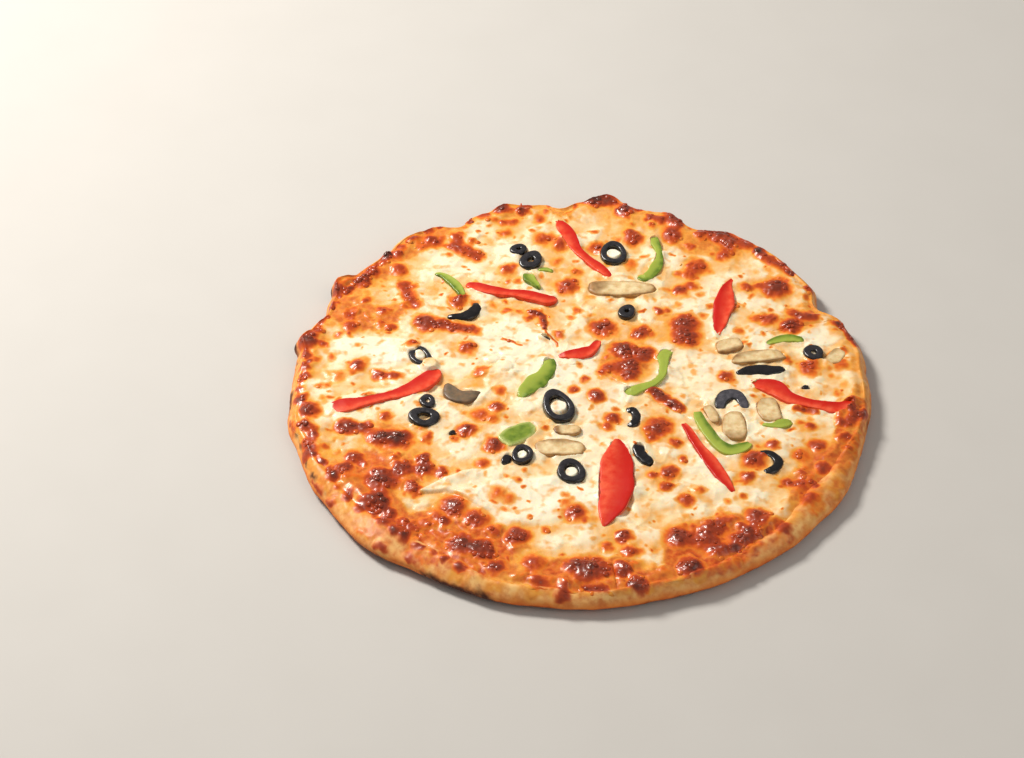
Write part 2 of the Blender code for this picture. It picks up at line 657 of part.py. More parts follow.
def main():
    clear_scene()
    materials = make_materials()
    collection = bpy.data.collections.new("vegetable_pizza")
    bpy.context.scene.collection.children.link(collection)
    add_toppings(materials, collection)
    ends = CUT_ANGLES[1:] + CUT_ANGLES[:1]
    for k, (start, end) in enumerate(zip(CUT_ANGLES, ends)):
        add_crust(f"crust_slice_{k + 1}", start, end, materials["baked_dough"], collection)
        add_cheese(f"cheese_slice_{k + 1}", start, end, materials["melted_cheese"], collection)


main()
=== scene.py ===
import math

import bmesh
import bpy
import numpy as np
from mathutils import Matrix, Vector


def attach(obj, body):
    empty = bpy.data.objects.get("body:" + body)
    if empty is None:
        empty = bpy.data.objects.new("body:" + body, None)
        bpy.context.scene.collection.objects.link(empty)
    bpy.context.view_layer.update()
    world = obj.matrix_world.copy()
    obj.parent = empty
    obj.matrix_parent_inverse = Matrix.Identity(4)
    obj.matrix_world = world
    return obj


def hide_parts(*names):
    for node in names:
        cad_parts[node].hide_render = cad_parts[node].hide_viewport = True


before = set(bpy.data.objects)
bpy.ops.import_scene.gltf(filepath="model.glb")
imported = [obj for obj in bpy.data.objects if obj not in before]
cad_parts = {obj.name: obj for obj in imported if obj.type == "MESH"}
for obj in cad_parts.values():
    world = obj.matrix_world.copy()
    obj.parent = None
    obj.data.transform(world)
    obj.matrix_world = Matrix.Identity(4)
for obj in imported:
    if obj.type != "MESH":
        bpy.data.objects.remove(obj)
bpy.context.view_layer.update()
mm = 0.001  # every size below is in millimetres
scene = bpy.context.scene
scene.view_settings.view_transform = "Standard"

# Sizes of the dough and the cheese, as the frame has them
dough = {
    "radius": 138.6, "floor": 5.0, "widest": 3.6, "footInset": 3.8, "shoulderInset": 1.2,
    "shoulder": 6.9, "crest": 9.9, "crestShare": 0.62, "slope": 9.5,
}
cheese = {
    "top": 9.3, "bank": 1.1, "seat": 8.5, "edge": 1.1, "spacing": 0.6, "quickSpacing": 1.1,
    "blisterRise": 0.23, "bubble": 0.75, "lip": 0.9, "lipReach": 2.2, "slab": 1.1, "fold": 0.35,
    "tongue": 1.4, "lap": 4.1, "overSeat": 0.15, "ringFill": 1.5, "ringDip": 0.4,
}
knifeCuts = {"meeting": (0.0, 13.0), "angles": (16, 57, 105, 147, 191, 231, 277, 325)}
gridCentre = (1.2, -3.5)  # places of toppings and spots are given from this point
farAway = 1e3

# Bumps and dips of the outline: angle, half width in degrees, how far out
rimMarks = (
    (12, 7, 1.8), (27, 6, -6.0), (46, 7, 1.2), (64, 8, -6.0), (85, 5, 4.5), (95, 4, -4.0),
    (107, 4, 1.5), (119, 5, -5.0), (131, 6, 3.5), (150, 4, 5.0), (160, 6, -3.5), (169, 3.5, 3.0),
    (193, 6, 1.6), (227, 12, 2.6), (248, 95, 3.4), (330, 10, 2.0),
)
# Knobs on the crest: angle, half width in degrees, how far up
rimKnobs = ((85, 4, 2.2), (107, 3, 1.6), (70, 3, 1.4), (150, 3, 2.0), (169, 2.5, 2.2), (231, 4, 1.8))
# Width of the rim at each angle
rimWidths = (
    (0, 5.5), (60, 6.0), (100, 5.0), (170, 5.5), (205, 7.0), (226, 15.0), (248, 10.5),
    (275, 6.5), (300, 8.0), (326, 13.5), (345, 7.0), (360, 5.5),
)
# Where the cheese lies lower: x, y, reach, how much
thinPlaces = ((-103, 56, 30, 1.0), (-72, -104, 26, 0.9), (112, -62, 26, 0.9), (65, -112, 20, 0.6))

# Browned spots: x, y, radius, darkness
brownedSpots = (
    (-75, 100, 4.5, .7), (-64, 102, 3.5, .5), (-80, 95, 3, .4), (-37, 78, 4, .55), (-20, 102, 4, .5),
    (-15, 104, 3, .4), (-10, 98, 4, .55), (-12, 86, 3, .3), (-6, 67, 5, .75), (-2, 78, 3.5, .4),
    (-22, 119, 3, .4), (-38, 107, 3, .4), (-35, 115, 3, .5), (-40, 115, 2.5, .5), (-57, 116, 2, .8),
    (-42, 125, 3.5, .95), (-31, 124, 3, .9), (-98, 86, 3.5, .7), (-92, 88, 3, .6), (-91, 77, 4, .6),
    (-104, 75, 4, .7), (-108, 66, 3.5, .6), (-121, 60, 4, .95), (-132, 20, 4.5, .95), (-124, 20, 2.5, .7),
    (-112, 33, 4.5, .6), (-113, 42, 3.5, .6), (-106, 53, 3, .5), (-96, 46, 4, .6), (-92, 34, 3, .55),
    (-76, 37, 5, .85), (-60, 54, 4, .7), (-106, 5, 4, .75), (-54, 20, 4, .6), (-47, 1.9, 3, .45),
    (-36, 48, 2.5, .4), (-30, 47, 2, .4), (-22, 46, 3.5, .6), (-25, 42, 2, .5), (-18, 38, 2.5, .6),
    (-81, 20, 3, .45), (-116, -3, 3.5, .25), (-9, 30, 2.5, .5),
    (8, 96, 4, .6), (27, 104, 4.5, .6), (25, 108, 3, .5), (26, 84, 3, .35), (46, 108, 5, .75),
    (48, 117, 4, .95), (23, 127, 5, .8), (5, 132, 3.5, .8), (55, 99, 3, .5), (62, 108, 4, .6),
    (71, 107, 5, .8), (75, 101, 5, .7), (84, 101, 4, .75), (73, 93, 4, .5), (58, 84, 5, .6),
    (54, 78, 4, .5), (50, 65, 4, .75), (56, 69, 3, .5), (38.5, 50, 2.5, .6), (43, 51, 2, .4),
    (51, 40, 6, .85), (52, 30, 6, .85), (12, 36, 5.5, .85), (30, 33, 4.5, .7), (97, 68, 6, .95),
    (83, 68, 3.5, .6), (89, 70, 2.5, .5), (93, 44, 4, .65), (104, 40, 4.5, .85), (110, 47, 4, .75),
    (106, 50, 3, .6), (115, 46, 3, .75), (87, 45, 3, .4), (111, 11, 5, .55), (127, 12, 3, .4),
    (71, 3, 3.5, .75), (22.5, 20, 5.5, .95), (31.5, 17, 4.5, .85), (25.5, 10.4, 5, .85), (25.5, 3.4, 5, .8),
    (18, 7.4, 4.5, .6), (13.5, 5, 3.5, .6), (14, 15, 2, .4),
    (4, -2, 2.5, .5), (78, 36, 2, .35),
    (9, -14, 4, .8), (40, -12, 3.5, .7), (46, -17, 3, .75), (38.5, -34, 5.5, .85), (36, -41, 2.5, .6),
    (17, -28, 3, .75), (15, -34, 2.5, .5), (47, -44, 2.5, .65), (43, -64, 4, .75), (42, -73, 3, .75),
    (35, -65, 2.5, .6), (51, -81, 3, .6), (57, -75, 2.5, .4), (50, -55, 2, .5), (83, -54, 5, .8),
    (79, -66, 3.5, .7), (92, -44, 3, .6), (110, -31, 3, .6), (113, -44, 4, .7), (115, -58, 4, .75),
    (105, -50, 4, .4), (104, -70, 4, .65), (98, -68, 3, .6), (110, -70, 2, .8), (108, -78, 4, .6),
    (83, -91, 5, .8), (84, -96, 3.5, .6), (47, -106, 6, .95), (66, -98, 4, .7), (60, -105, 7, .75),
    (75, -106, 5, .8), (52, -124, 6, .9), (65, -113, 5, .7), (80, -103, 4, .8), (72, -112, 2.5, 1),
    (95, -98, 4, .8), (98, -104, 3, .7), (22, -105, 3.5, .8), (25, -115, 4, .6), (15, -112, 3, .5),
    (7, -127, 7, .95), (0, -125, 4, .8), (22, -127, 4, .85), (29, -136, 4.5, .9), (0, -92, 4.5, .7),
    (5, -96, 1.5, .5), (-5, -142, 4.5, .85), (40, -140, 2, .5), (130, -18, 3.5, .8), (136, -20, 3, .8),
    (-127, -27, 4.5, .85), (-88, -45, 6, 1), (-83, -46, 5, .95), (-94, -44, 4.5, .9), (-71, -44, 3, .4),
    (-52, -38, 4, .8), (-39, -48, 4, .85), (-44, -60, 3, .55), (-38, -22, 3.5, .7), (-46, -27, 4, .45),
    (-40, -30, 3, .35), (-38, -10, 2.5, .45), (-2, -9, 2.5, .55), (-15, -36, 1.5, .4), (-91, -30, 3, .5),
    (-124, -55, 4, .8), (-129, -58, 3, .8), (-104, -58, 4, .75), (-99, -62, 3, .7), (-108, -66, 4, .75),
    (-71, -58, 3.5, .85), (-70, -65, 4.5, .9), (-62, -67, 3, .7), (-55, -65, 1.5, .4), (-90, -73, 7, 1),
    (-80, -66, 5, .85), (-75, -77, 4, .7), (-91, -87, 5.5, 1), (-86, -93, 4, .8), (-85, -100, 5, .5),
    (-78, -105, 5, .6), (-55, -89, 5.5, .95), (-60, -98, 3, .7), (-45, -97, 5, .75), (-51, -113, 6, 1),
    (-42, -116, 6.5, 1), (-35, -127, 4, .85), (-26, -106, 5, .8), (-18, -124, 5, .6), (-78, -112, 3, .7),
    (-75, -123, 5, .85), (-90, -118, 6, .95), (-115, -87, 4, .8), (-36, -80, 4, .3), (-30, -83, 3, .3),
    (-15, -136, 4, .6),
)
# Longer browned marks: x and y of the start and the end, radius, darkness
brownedStreaks = (
    (-64, 97, -52, 89, 3.4, .65), (-88, 66, -82, 50, 3.2, .6), (-70, 36, -52, 33, 3.4, .72),
    (-97, -1, -87, -2, 2.6, .6), (-25, 48, -18, 45, 1.6, .6), (-18, 45, -17, 34, 1.5, .65),
    (-17, 34, -11, 22, .7, .42), (-38, 27, -28, 21, .6, .42), (2, 134, 14, 133, 4, .92),
    (90, 95, 104, 80, 3, .6), (128, 42, 135, 28, 2.4, .9), (103, -20, 113, -20.5, 1.4, .6),
    (-111, -38, -101, -38, 3.6, .9), (6, -138, 14, -139, 2.4, .75), (-138, -32, -131, -62, 2.6, .9),
    (-131, -62, -118, -84, 2.6, .85), (-118, 74, -110, 80, 2.6, .6), (62, 112, 84, 104, 2.6, .6),
    (36, -9, 48, -20, 2.6, .7), (34, 121, 44, 118, 2.2, .6), (126, -28, 133, -22, 3.2, .6),
)
# Where sauce and oil colour the cheese: x, y, half length, half width, turn, strength
sauceZones = (
    (-104, 55, 27, 33, -20, .84), (-97, -88, 40, 20, -48, .8), (-52, -112, 42, 24, -22, .95),
    (10, -130, 50, 13, 2, .9), (66, -110, 38, 21, 22, .95), (116, -64, 36, 18, 64, .85),
    (130, -30, 26, 11, 78, .95), (108, 88, 36, 9, -48, .9), (30, 121, 44, 11, -10, .5),
    (-82, 98, 34, 8, 42, .7), (-118, -48, 17, 12, 84, .5), (21, 13, 14, 15, 20, .75),
    (-128, 15, 12, 26, 0, .45), (62, 100, 22, 10, -22, .5), (-88, -66, 20, 15, -30, .85),
)
# Clear pools within those stretches
clearPools = (
    (-97, 61, 19, 15, 0, .6), (-100, -92, 14, 9, -50, .5), (-22, -122, 10, 8, 60, .6),
    (34, -118, 9, 12, -20, .5),
)
# Thick white cheese: x, y, half length, half width, turn, strength
whiteSlabs = (
    (-100, 16, 30, 12, 3, .9), (-24, -84, 42, 17, 8, .95), (-62, -38, 16, 8, 20, .6), (0, -2, 32, 30, 0, .75),
    (-36, 24, 22, 18, 0, .8), (66, -2, 15, 30, 30, .5), (118, 33, 14, 8, 20, .8), (60, 52, 12, 30, -16, .5),
    (60, -66, 10, 26, 30, .4), (12, -52, 26, 22, 0, .6), (-60, 84, 24, 12, 30, .45),
    (-94, -22, 26, 13, 8, .6),
)
# Runs of browned bubbles along the edge: from and to in degrees, step, distance from the middle
rimSpotRuns = ((138, 250, 2.0, 131.5), (96, 138, 3.2, 134.0), (20, 92, 4.4, 132.5))
freckles = {"tries": 900, "reach": 134.0}
# How far a spot of radius 1 browns the cheese, colours it golden, and lifts it
spotReach = {"brown": 1.85, "golden": 3.2, "lift": 1.25}
domeSizes = {"large": 6.4, "middle": 4.2, "small": 2.2}


def scatterRimSpots():  # browned bubbles along the very edge
    draw = np.random.RandomState(31)
    spots = []
    for start, end, step, reach in rimSpotRuns:
        for turn in np.arange(start, end, step):
            a = math.radians(turn + step * (draw.rand() - 0.5))
            away = reach + 3.2 * draw.rand()
            radius = 1.5 + 1.7 * draw.rand()
            dark = 0.5 + 0.45 * draw.rand()
            x = away * math.cos(a) + gridCentre[0]
            y = away * math.sin(a) + gridCentre[1]
            spots.append((x, y, radius, dark))
    return tuple(spots)


def scatterSmallSpots():  # fine browned freckles, more of them towards the rim
    draw = np.random.RandomState(12)
    spots = []
    for _ in range(freckles["tries"]):
        away = freckles["reach"] * math.sqrt(draw.rand())
        turn = 2 * math.pi * draw.rand()
        radius = 0.7 + 1.5 * draw.rand() ** 2
        dark = 0.10 + 0.34 * draw.rand()
        if draw.rand() < 0.25 + 0.75 * (away / freckles["reach"]) ** 2:
            spots.append((away * math.cos(turn), away * math.sin(turn), radius, dark))
    return tuple(spots)


smallSpots = scatterSmallSpots()
raisedSpots = brownedSpots + scatterRimSpots()


def tint(red, green, blue):  # a linear colour from the values that a picture shows
    return tuple(((c / 255 + 0.055) / 1.055) ** 2.4 for c in (red, green, blue)) + (1.0,)


def hump(distance, reach):  # 1 at no distance, falling smoothly to 0 at the reach
    share = np.clip(np.abs(distance) / reach, 0.0, 1.0)
    return (1.0 - share ** 2) ** 2


def ease(value):
    value = np.clip(value, 0.0, 1.0)
    return value * value * (3.0 - 2.0 * value)


def latticeNoise(x, y, size, seed, octaves=3, cells=89):  # smooth noise from -1 to 1
    table = np.random.RandomState(seed).rand(cells, cells) * 2.0 - 1.0
    total = np.zeros_like(x)
    for octave in range(octaves):
        turn = 0.6 + octave * 1.1
        step = size / 1.9 ** octave
        u = (x * math.cos(turn) - y * math.sin(turn)) / step + 11.3 * octave
        v = (x * math.sin(turn) + y * math.cos(turn)) / step + 5.7 * octave
        i = np.floor(u).astype(int)
        j = np.floor(v).astype(int)
        s = ease(u - i)
        t = ease(v - j)
        i, i1, j, j1 = i % cells, (i + 1) % cells, j % cells, (j + 1) % cells
        near = table[i, j] * (1 - s) + table[i1, j] * s
        far = table[i, j1] * (1 - s) + table[i1, j1] * s
        total += (near * (1 - t) + far * t) * 0.55 ** octave
    return total


def bubbleDomes(x, y, size, seed, cells=83):  # round domes side by side, 0 to 1
    jitter = np.random.RandomState(seed).rand(3, cells, cells)
    u = x / size
    v = y / size
    i = np.floor(u).astype(int)
    j = np.floor(v).astype(int)
    best = np.full_like(u, 9.0)
    for di in (-1, 0, 1):
        for dj in (-1, 0, 1):
            a = (i + di) % cells
            b = (j + dj) % cells
            away = np.hypot(u - i - di - jitter[0, a, b], v - j - dj - jitter[1, a, b])
            best = np.minimum(best, away / (0.45 + 0.4 * jitter[2, a, b]))
    return np.sqrt(np.clip(1.0 - best ** 2, 0.0, 1.0))


def bluntWave(value, power):  # a sine or cosine whose turns are blunter
    return math.copysign(abs(value) ** power, value)


def turnBetween(first, second):
    return np.abs((first - second + 180.0) % 360.0 - 180.0)


def outlineRadius(angle):  # from the frame's middle to the edge of the dough
    radius = np.full_like(angle, dough["radius"])
    for middle, halfWidth, out in rimMarks:
        radius += out * hump(turnBetween(angle, middle), halfWidth)
    a = np.radians(angle)
    return radius + 0.5 * np.sin(7 * a + 1.0) + 0.35 * np.sin(17 * a + 2.0)


def rimWidth(angle):
    a = np.radians(angle)
    width = np.interp(angle % 360.0, [w[0] for w in rimWidths], [w[1] for w in rimWidths])
    return width + 0.7 * np.sin(11 * a) + 0.4 * np.sin(19 * a + 1.0)


def crestHeight(angle):  # height of the rim
    a = np.radians(angle)
    height = dough["crest"] + 0.4 * np.sin(9 * a + 0.5) + 0.3 * np.sin(21 * a)
    for middle, halfWidth, up in rimKnobs:
        height += up * hump(turnBetween(angle, middle), halfWidth * 1.6)
    return height


def bearing(x, y):
    return np.degrees(np.arctan2(y, x))


def doughHeight(x, y):  # top of the dough, from the flat middle over the crest
    angle = bearing(x, y)
    inset = outlineRadius(angle) - np.hypot(x, y)
    width = rimWidth(angle)
    crest = crestHeight(angle)
    slope = ease((width + dough["slope"] - inset) / dough["slope"])
    height = dough["floor"] + (crest - 1.0 - dough["floor"]) * slope
    height += ease((width - inset) / (width * (1.0 - dough["crestShare"])))
    fall = np.clip((width * dough["crestShare"] - inset) / (width * dough["crestShare"]), 0.0, 1.0)
    return height - (crest - dough["shoulder"]) * 1.2 * fall ** 1.1


def turnedFrom(x, y, middleX, middleY, turn):  # distances along and across a direction, from a point
    a = math.radians(turn)
    dx = x - middleX
    dy = y - middleY
    return dx * math.cos(a) + dy * math.sin(a), dy * math.cos(a) - dx * math.sin(a)


def ovalShare(x, y, zone):  # 1 in the middle of a turned oval, 0 on its edge and beyond
    middleX, middleY, length, width, turn = zone[:5]
    along, across = turnedFrom(x, y, middleX, middleY, turn)
    return np.clip(1.0 - np.hypot(along / length, across / width), 0.0, 1.0)


def closeTo(x, y, spotX, spotY, reach):
    return (np.abs(x - spotX) < reach) & (np.abs(y - spotY) < reach)


def nearPath(x, y, path):  # distance to a path of x, y and half width
    best = np.full_like(x, farAway)
    for (x0, y0, w0), (x1, y1, w1) in zip(path, path[1:]):
        dx = x1 - x0
        dy = y1 - y0
        share = np.clip(((x - x0) * dx + (y - y0) * dy) / (dx * dx + dy * dy), 0.0, 1.0)
        best = np.minimum(best, np.hypot(x - x0 - dx * share, y - y0 - dy * share) - w0 - (w1 - w0) * share)
    return best


def zoneShare(x, y):  # the stretches where sauce and oil have come through
    total = np.zeros_like(x)
    ragged = 0.24 * latticeNoise(x, y, 9.0, 21) + 0.14 * latticeNoise(x, y, 3.0, 22)
    for zone in sauceZones:
        total = np.maximum(total, zone[5] * ease(3.0 * ovalShare(x, y, zone) + ragged))
    for pool in clearPools:
        total *= 1.0 - pool[5] * ease(2.4 * ovalShare(x, y, pool) + ragged)
    return total * (1.0 - 0.85 * slabShare(x, y))


def zoneLumps(x, y):  # where large domes stand in the sauce zones
    return ease(0.25 + 0.9 * latticeNoise(x, y, 9.0, 53, 2))


def spotDepth(dark):
    return 0.10 + 0.92 * dark


def browning(x, y):  # how browned the surface is, 0 to about 1.4
    warpX = x + 1.2 * latticeNoise(x, y, 6.0, 3) + 0.25 * latticeNoise(x, y, 1.9, 4)
    warpY = y + 1.2 * latticeNoise(x, y, 6.0, 5) + 0.25 * latticeNoise(x, y, 1.9, 6)
    total = np.zeros_like(x)
    for spotX, spotY, radius, dark in raisedSpots + smallSpots:
        near = closeTo(x, y, spotX, spotY, 2.0 * radius + 3.0)
        away = np.hypot(warpX[near] - spotX, warpY[near] - spotY)
        total[near] += (spotDepth(dark) * hump(away, spotReach["brown"] * radius)) ** 2
    for x0, y0, x1, y1, radius, dark in brownedStreaks:
        away = nearPath(warpX, warpY, ((x0, y0, 0.0), (x1, y1, 0.0)))
        total += (spotDepth(dark) * hump(np.maximum(away, 0.0), spotReach["brown"] * radius)) ** 2
    largeDomes = bubbleDomes(warpX, warpY, domeSizes["large"], 54)
    total += (0.60 * zoneShare(x, y) * zoneLumps(x, y) * largeDomes) ** 2
    domes = 0.6 * bubbleDomes(x, y, domeSizes["middle"], 51) + 0.4 * bubbleDomes(x, y, domeSizes["small"], 52)
    return np.sqrt(total) * (0.80 + 0.36 * domes)


def sauceColour(x, y):  # the zones, a halo round each spot and a band along the rim
    total = zoneShare(x, y)
    ragged = latticeNoise(x, y, 8.0, 23)
    for spotX, spotY, radius, dark in brownedSpots:
        reach = spotReach["golden"] * radius + 2.0
        near = closeTo(x, y, spotX, spotY, reach)
        away = np.hypot(x[near] - spotX, y[near] - spotY) + 1.6 * ragged[near]
        halo = (0.22 + 0.35 * dark) * hump(np.maximum(away, 0.0), reach)
        total[near] = total[near] + halo * (1.0 - total[near])
    frameX = x - gridCentre[0]
    frameY = y - gridCentre[1]
    angle = bearing(frameX, frameY)
    inside = outlineRadius(angle) - np.hypot(frameX, frameY) - np.maximum(rimWidth(angle) - 6.2, 0.0)
    return np.maximum(total, 0.7 * ease((17.0 + 6.0 * ragged - inside) / 12.0))


def blisterRise(x, y):  # each browned spot stands up as a low dome
    total = np.zeros_like(x)
    for spotX, spotY, radius, dark in raisedSpots:
        near = closeTo(x, y, spotX, spotY, 1.3 * radius)
        rise = cheese["blisterRise"] * radius * (0.35 + 0.75 * dark)
        total[near] += rise * hump(np.hypot(x[near] - spotX, y[near] - spotY), spotReach["lift"] * radius)
    return total + 1.5 * zoneShare(x, y) * zoneLumps(x, y) * bubbleDomes(x, y, domeSizes["large"], 54)


def slabShare(x, y):  # the thick white stretches
    total = np.zeros_like(x)
    ragged = 0.15 * latticeNoise(x, y, 8.0, 31)
    for slab in whiteSlabs:
        total = np.maximum(total, slab[5] * ease(4.2 * ovalShare(x, y, slab) + ragged))
    return total


def thickness(x, y):  # 1 where the cheese is thick and white
    lumps = ease(0.45 + 0.75 * latticeNoise(x, y, 8.0, 32))
    return np.maximum(slabShare(x, y), 0.6 * lumps) * (0.75 + 0.25 * lumps)


# Toppings: the frame's places and sizes, but for the ends of two strips and the bow of one slice
# Olive rings: x, y, width, length, turn, the hole's share, thickness, tilt
oliveRings = (
    (-31.3, 92.9, 8.6, 8.2, 0, 0.22, 3.4, 0),
    (-24.9, 84.4, 10.8, 13.6, -20, 0.26, 3.4, 3),
    (16.6, 91.3, 13.8, 16.0, 0, 0.56, 3.4, 2),
    (-76.4, 11.8, 10.4, 14.4, 34, 0.50, 3.2, 0),
    (-71.3, -20.0, 7.6, 8.8, 10, 0.25, 3.4, 0),
    (-72.3, -31.5, 15.0, 12.2, 0, 0.38, 3.6, 3),
    (-9.0, -22.4, 14.6, 20.4, 16, 0.58, 3.4, 5),
    (-25.2, -54.8, 10.0, 11.6, 0, 0.52, 3.2, 3),
    (-2.2, -65.7, 13.6, 14.6, 12, 0.48, 3.4, 3),
    (23.3, 47.4, 8.6, 9.6, -25, 0.24, 3.2, 0),
    (113.8, 20.0, 9.4, 11.2, 40, 0.24, 3.4, 0),
)
# Strips: points along the middle, each x, y, width
openRing = (
    (67.6, -20.4, 4.0), (68.4, -15.4, 6.4), (70.6, -11.6, 7.0), (74.0, -10.5, 6.8),
    (77.2, -12.6, 5.8), (78.8, -16.8, 5.0), (79.4, -20.8, 3.4),
)
oliveArcs = (
    ((-65.2, 41.4, 1.8), (-60.0, 41.2, 4.2), (-54.6, 42.8, 6.4), (-51.2, 47.4, 5.4), (-51.4, 52.4, 2.6)),
    ((22.8, -23.6, 2.2), (26.4, -23.2, 4.0), (28.0, -27.4, 4.4), (26.8, -31.8, 4.0), (23.8, -33.8, 2.2)),
    ((29.6, -46.2, 4.8), (29.2, -50.6, 6.0), (32.0, -55.6, 5.8), (35.2, -58.4, 3.6)),
    ((85.0, -49.6, 2.2), (90.0, -50.6, 3.6), (94.0, -55.2, 4.6), (92.2, -60.4, 4.4), (86.8, -63.0, 2.8)),
    ((75.6, 4.0, 2.4), (80.6, 6.2, 4.8), (86.0, 7.4, 6.4), (92.0, 7.2, 7.6), (97.0, 8.0, 5.0),
     (99.4, 9.2, 2.2)),
)
redPeppers = (
    ((-12.8, 119.0, 2.4), (-9.2, 112.0, 6.6), (-5.4, 102.7, 7.4), (-1.8, 93.8, 4.6), (3.0, 87.3, 4.6),
     (8.8, 81.2, 5.4), (13.2, 76.2, 4.4), (14.8, 72.8, 2.2)),
    ((-57.2, 66.6, 2.0), (-51.5, 64.3, 5.8), (-44.0, 61.5, 6.6), (-36.0, 59.8, 5.6), (-28.5, 59.0, 6.6),
     (-21.5, 57.0, 6.6), (-16.0, 55.6, 7.0), (-10.6, 57.2, 3.0)),
    ((-118.4, -25.6, 5.0), (-111.0, -23.9, 8.8), (-103.0, -21.6, 6.6), (-95.6, -18.8, 5.8),
     (-88.0, -16.0, 7.0), (-80.6, -12.2, 8.8), (-73.8, -6.4, 10.2), (-69.2, 0.0, 7.0), (-68.8, 4.6, 2.0)),
    ((-10.4, 14.2, 1.6), (-4.6, 15.2, 5.4), (1.6, 16.2, 7.0), (6.4, 19.2, 5.6), (8.8, 23.4, 4.4),
     (10.0, 26.6, 1.8)),
    ((76.4, 75.6, 0.8), (73.4, 68.4, 4.6), (72.2, 61.0, 8.2), (71.2, 54.0, 10.0), (69.8, 46.5, 9.0),
     (68.6, 38.5, 6.0), (67.0, 31.0, 1.8)),
    ((80.6, -2.2, 4.0), (88.4, -3.2, 7.2), (94.6, -5.8, 9.2), (100.6, -12.0, 7.4), (108.6, -15.2, 5.6),
     (116.4, -17.2, 6.4), (123.2, -18.2, 7.0), (128.4, -15.0, 4.4), (131.0, -11.4, 1.8)),
    ((18.8, -40.8, 0.6), (19.4, -49.0, 9.0), (18.9, -58.0, 14.2), (18.9, -67.0, 16.8), (18.8, -75.0, 17.0),
     (17.6, -83.0, 14.4), (15.4, -91.4, 9.2), (12.8, -100.4, 1.0)),
    ((49.6, -29.8, 1.8), (52.6, -36.0, 4.0), (56.0, -44.0, 4.8), (60.2, -52.4, 6.0), (64.6, -60.4, 6.2),
     (68.6, -68.4, 5.0), (73.4, -77.0, 1.8)),
)
greenPeppers = (
    ((-73.0, 73.8, 1.6), (-68.5, 72.0, 3.2), (-63.0, 66.5, 4.4), (-59.4, 60.8, 4.4), (-57.8, 55.8, 3.2)),
    ((-25.3, 75.2, 3.6), (-25.4, 71.6, 6.4), (-22.4, 67.2, 3.8), (-19.8, 63.8, 1.6)),
    ((37.2, 107.0, 2.6), (37.2, 102.0, 4.6), (39.2, 95.0, 3.2), (39.6, 88.0, 4.4), (38.0, 82.0, 6.4),
     (35.4, 76.4, 5.6), (32.2, 73.6, 4.8), (28.4, 75.4, 2.4)),
    ((-14.6, 12.8, 4.6), (-13.8, 7.4, 7.0), (-16.2, 0.4, 8.0), (-20.6, -5.4, 9.2), (-25.0, -11.0, 7.6),
     (-27.4, -16.0, 2.4)),
    ((46.2, 21.0, 1.6), (41.4, 16.8, 6.4), (41.2, 9.6, 4.4), (40.2, 1.8, 4.0), (36.2, -4.0, 4.0),
     (30.0, -7.4, 5.0), (25.4, -10.0, 5.6), (21.8, -8.0, 2.4)),
    ((56.6, -21.6, 3.0), (58.0, -28.0, 4.8), (61.4, -36.0, 5.6), (66.0, -44.2, 6.2), (71.6, -48.6, 6.4),
     (77.6, -46.6, 5.6), (82.0, -42.4, 2.4)),
    ((90.0, 25.6, 1.8), (95.6, 28.4, 3.8), (101.6, 30.2, 5.2), (106.6, 29.6, 4.4), (109.4, 28.4, 2.2)),
    ((87.0, -30.4, 1.8), (92.0, -31.6, 3.2), (97.4, -30.0, 5.4), (101.8, -28.6, 2.4)),
)
# Slices: x, y, length, width, turn, bow, taper, thickness
pepperPlate = (-27.8, -40.2, 20.2, 11.2, 36, 0.0, 0.0, 2.2)
mushrooms = (
    (21.2, 65.2, 35.4, 10.2, 1, 1.3, 0.26, 2.8),
    (-56.2, -13.8, 18.0, 10.6, -18, 3.0, -0.05, 2.8),
    (73.4, 24.6, 14.0, 9.4, 14, 0.0, 0.15, 2.6),
    (87.0, 16.7, 27.0, 8.0, 8, -1.0, 0.1, 2.8),
    (74.2, -31.8, 18.6, 12.0, 90, 0.0, 0.1, 2.8),
    (63.6, -24.2, 12.0, 6.0, -70, 0.0, 0.0, 2.6),
    (90.8, -20.4, 16.0, 11.4, 98, 0.0, 0.1, 2.8),
    (-4.4, -37.4, 12.8, 6.4, 4, 0.0, 0.0, 2.8),
    (-7.4, -49.2, 22.6, 11.0, 0, 0.0, 0.12, 2.6),
    (124.4, 18.4, 12.0, 7.6, 60, 0.0, 0.0, 2.4),
)
# Scraps of olive and pepper: finish, then points along the middle, each x, y, width
scraps = (
    ("black_olive", ((-33.4, -60.4, 2.6), (-32.6, -57.4, 4.6), (-31.8, -54.4, 2.8))),
    ("black_olive", ((-18.0, 27.6, 1.6), (-16.0, 27.2, 2.8), (-14.0, 26.0, 1.6))),
    ("green_pepper", ((-21.4, 78.2, 1.6), (-17.3, 78.8, 2.8), (-13.5, 77.3, 1.6))),
    ("black_olive", ((-59.8, -41.2, 1.6), (-58.4, -40.4, 2.6), (-57.0, -40.2, 1.4))),
    ("black_olive", ((107.4, -4.6, 1.8), (109.0, -4.0, 3.4), (110.6, -3.8, 2.0))),
)
# Places where the cheese has run over a topping: x, y, reach
cheeseLaps = ((-81.2, 18.2, 4.0), (-71.6, 6.0, 4.2))
# A tongue of white cheese that lies over its neighbour: x, y, half width along it
whiteTongue = ((-71.0, -79.5, 1.0), (-60.0, -74.5, 4.5), (-48.0, -74.0, 9.5), (-38.0, -78.0, 13.0))
# Knife cuts that stay open: angle, from and to along the cut, how far the right side stands up
openCuts = ((325, 8, 30, 0.7), (325, 38, 66, 0.8), (16, 92, 134, 0.5), (277, 128, 158, 0.4))


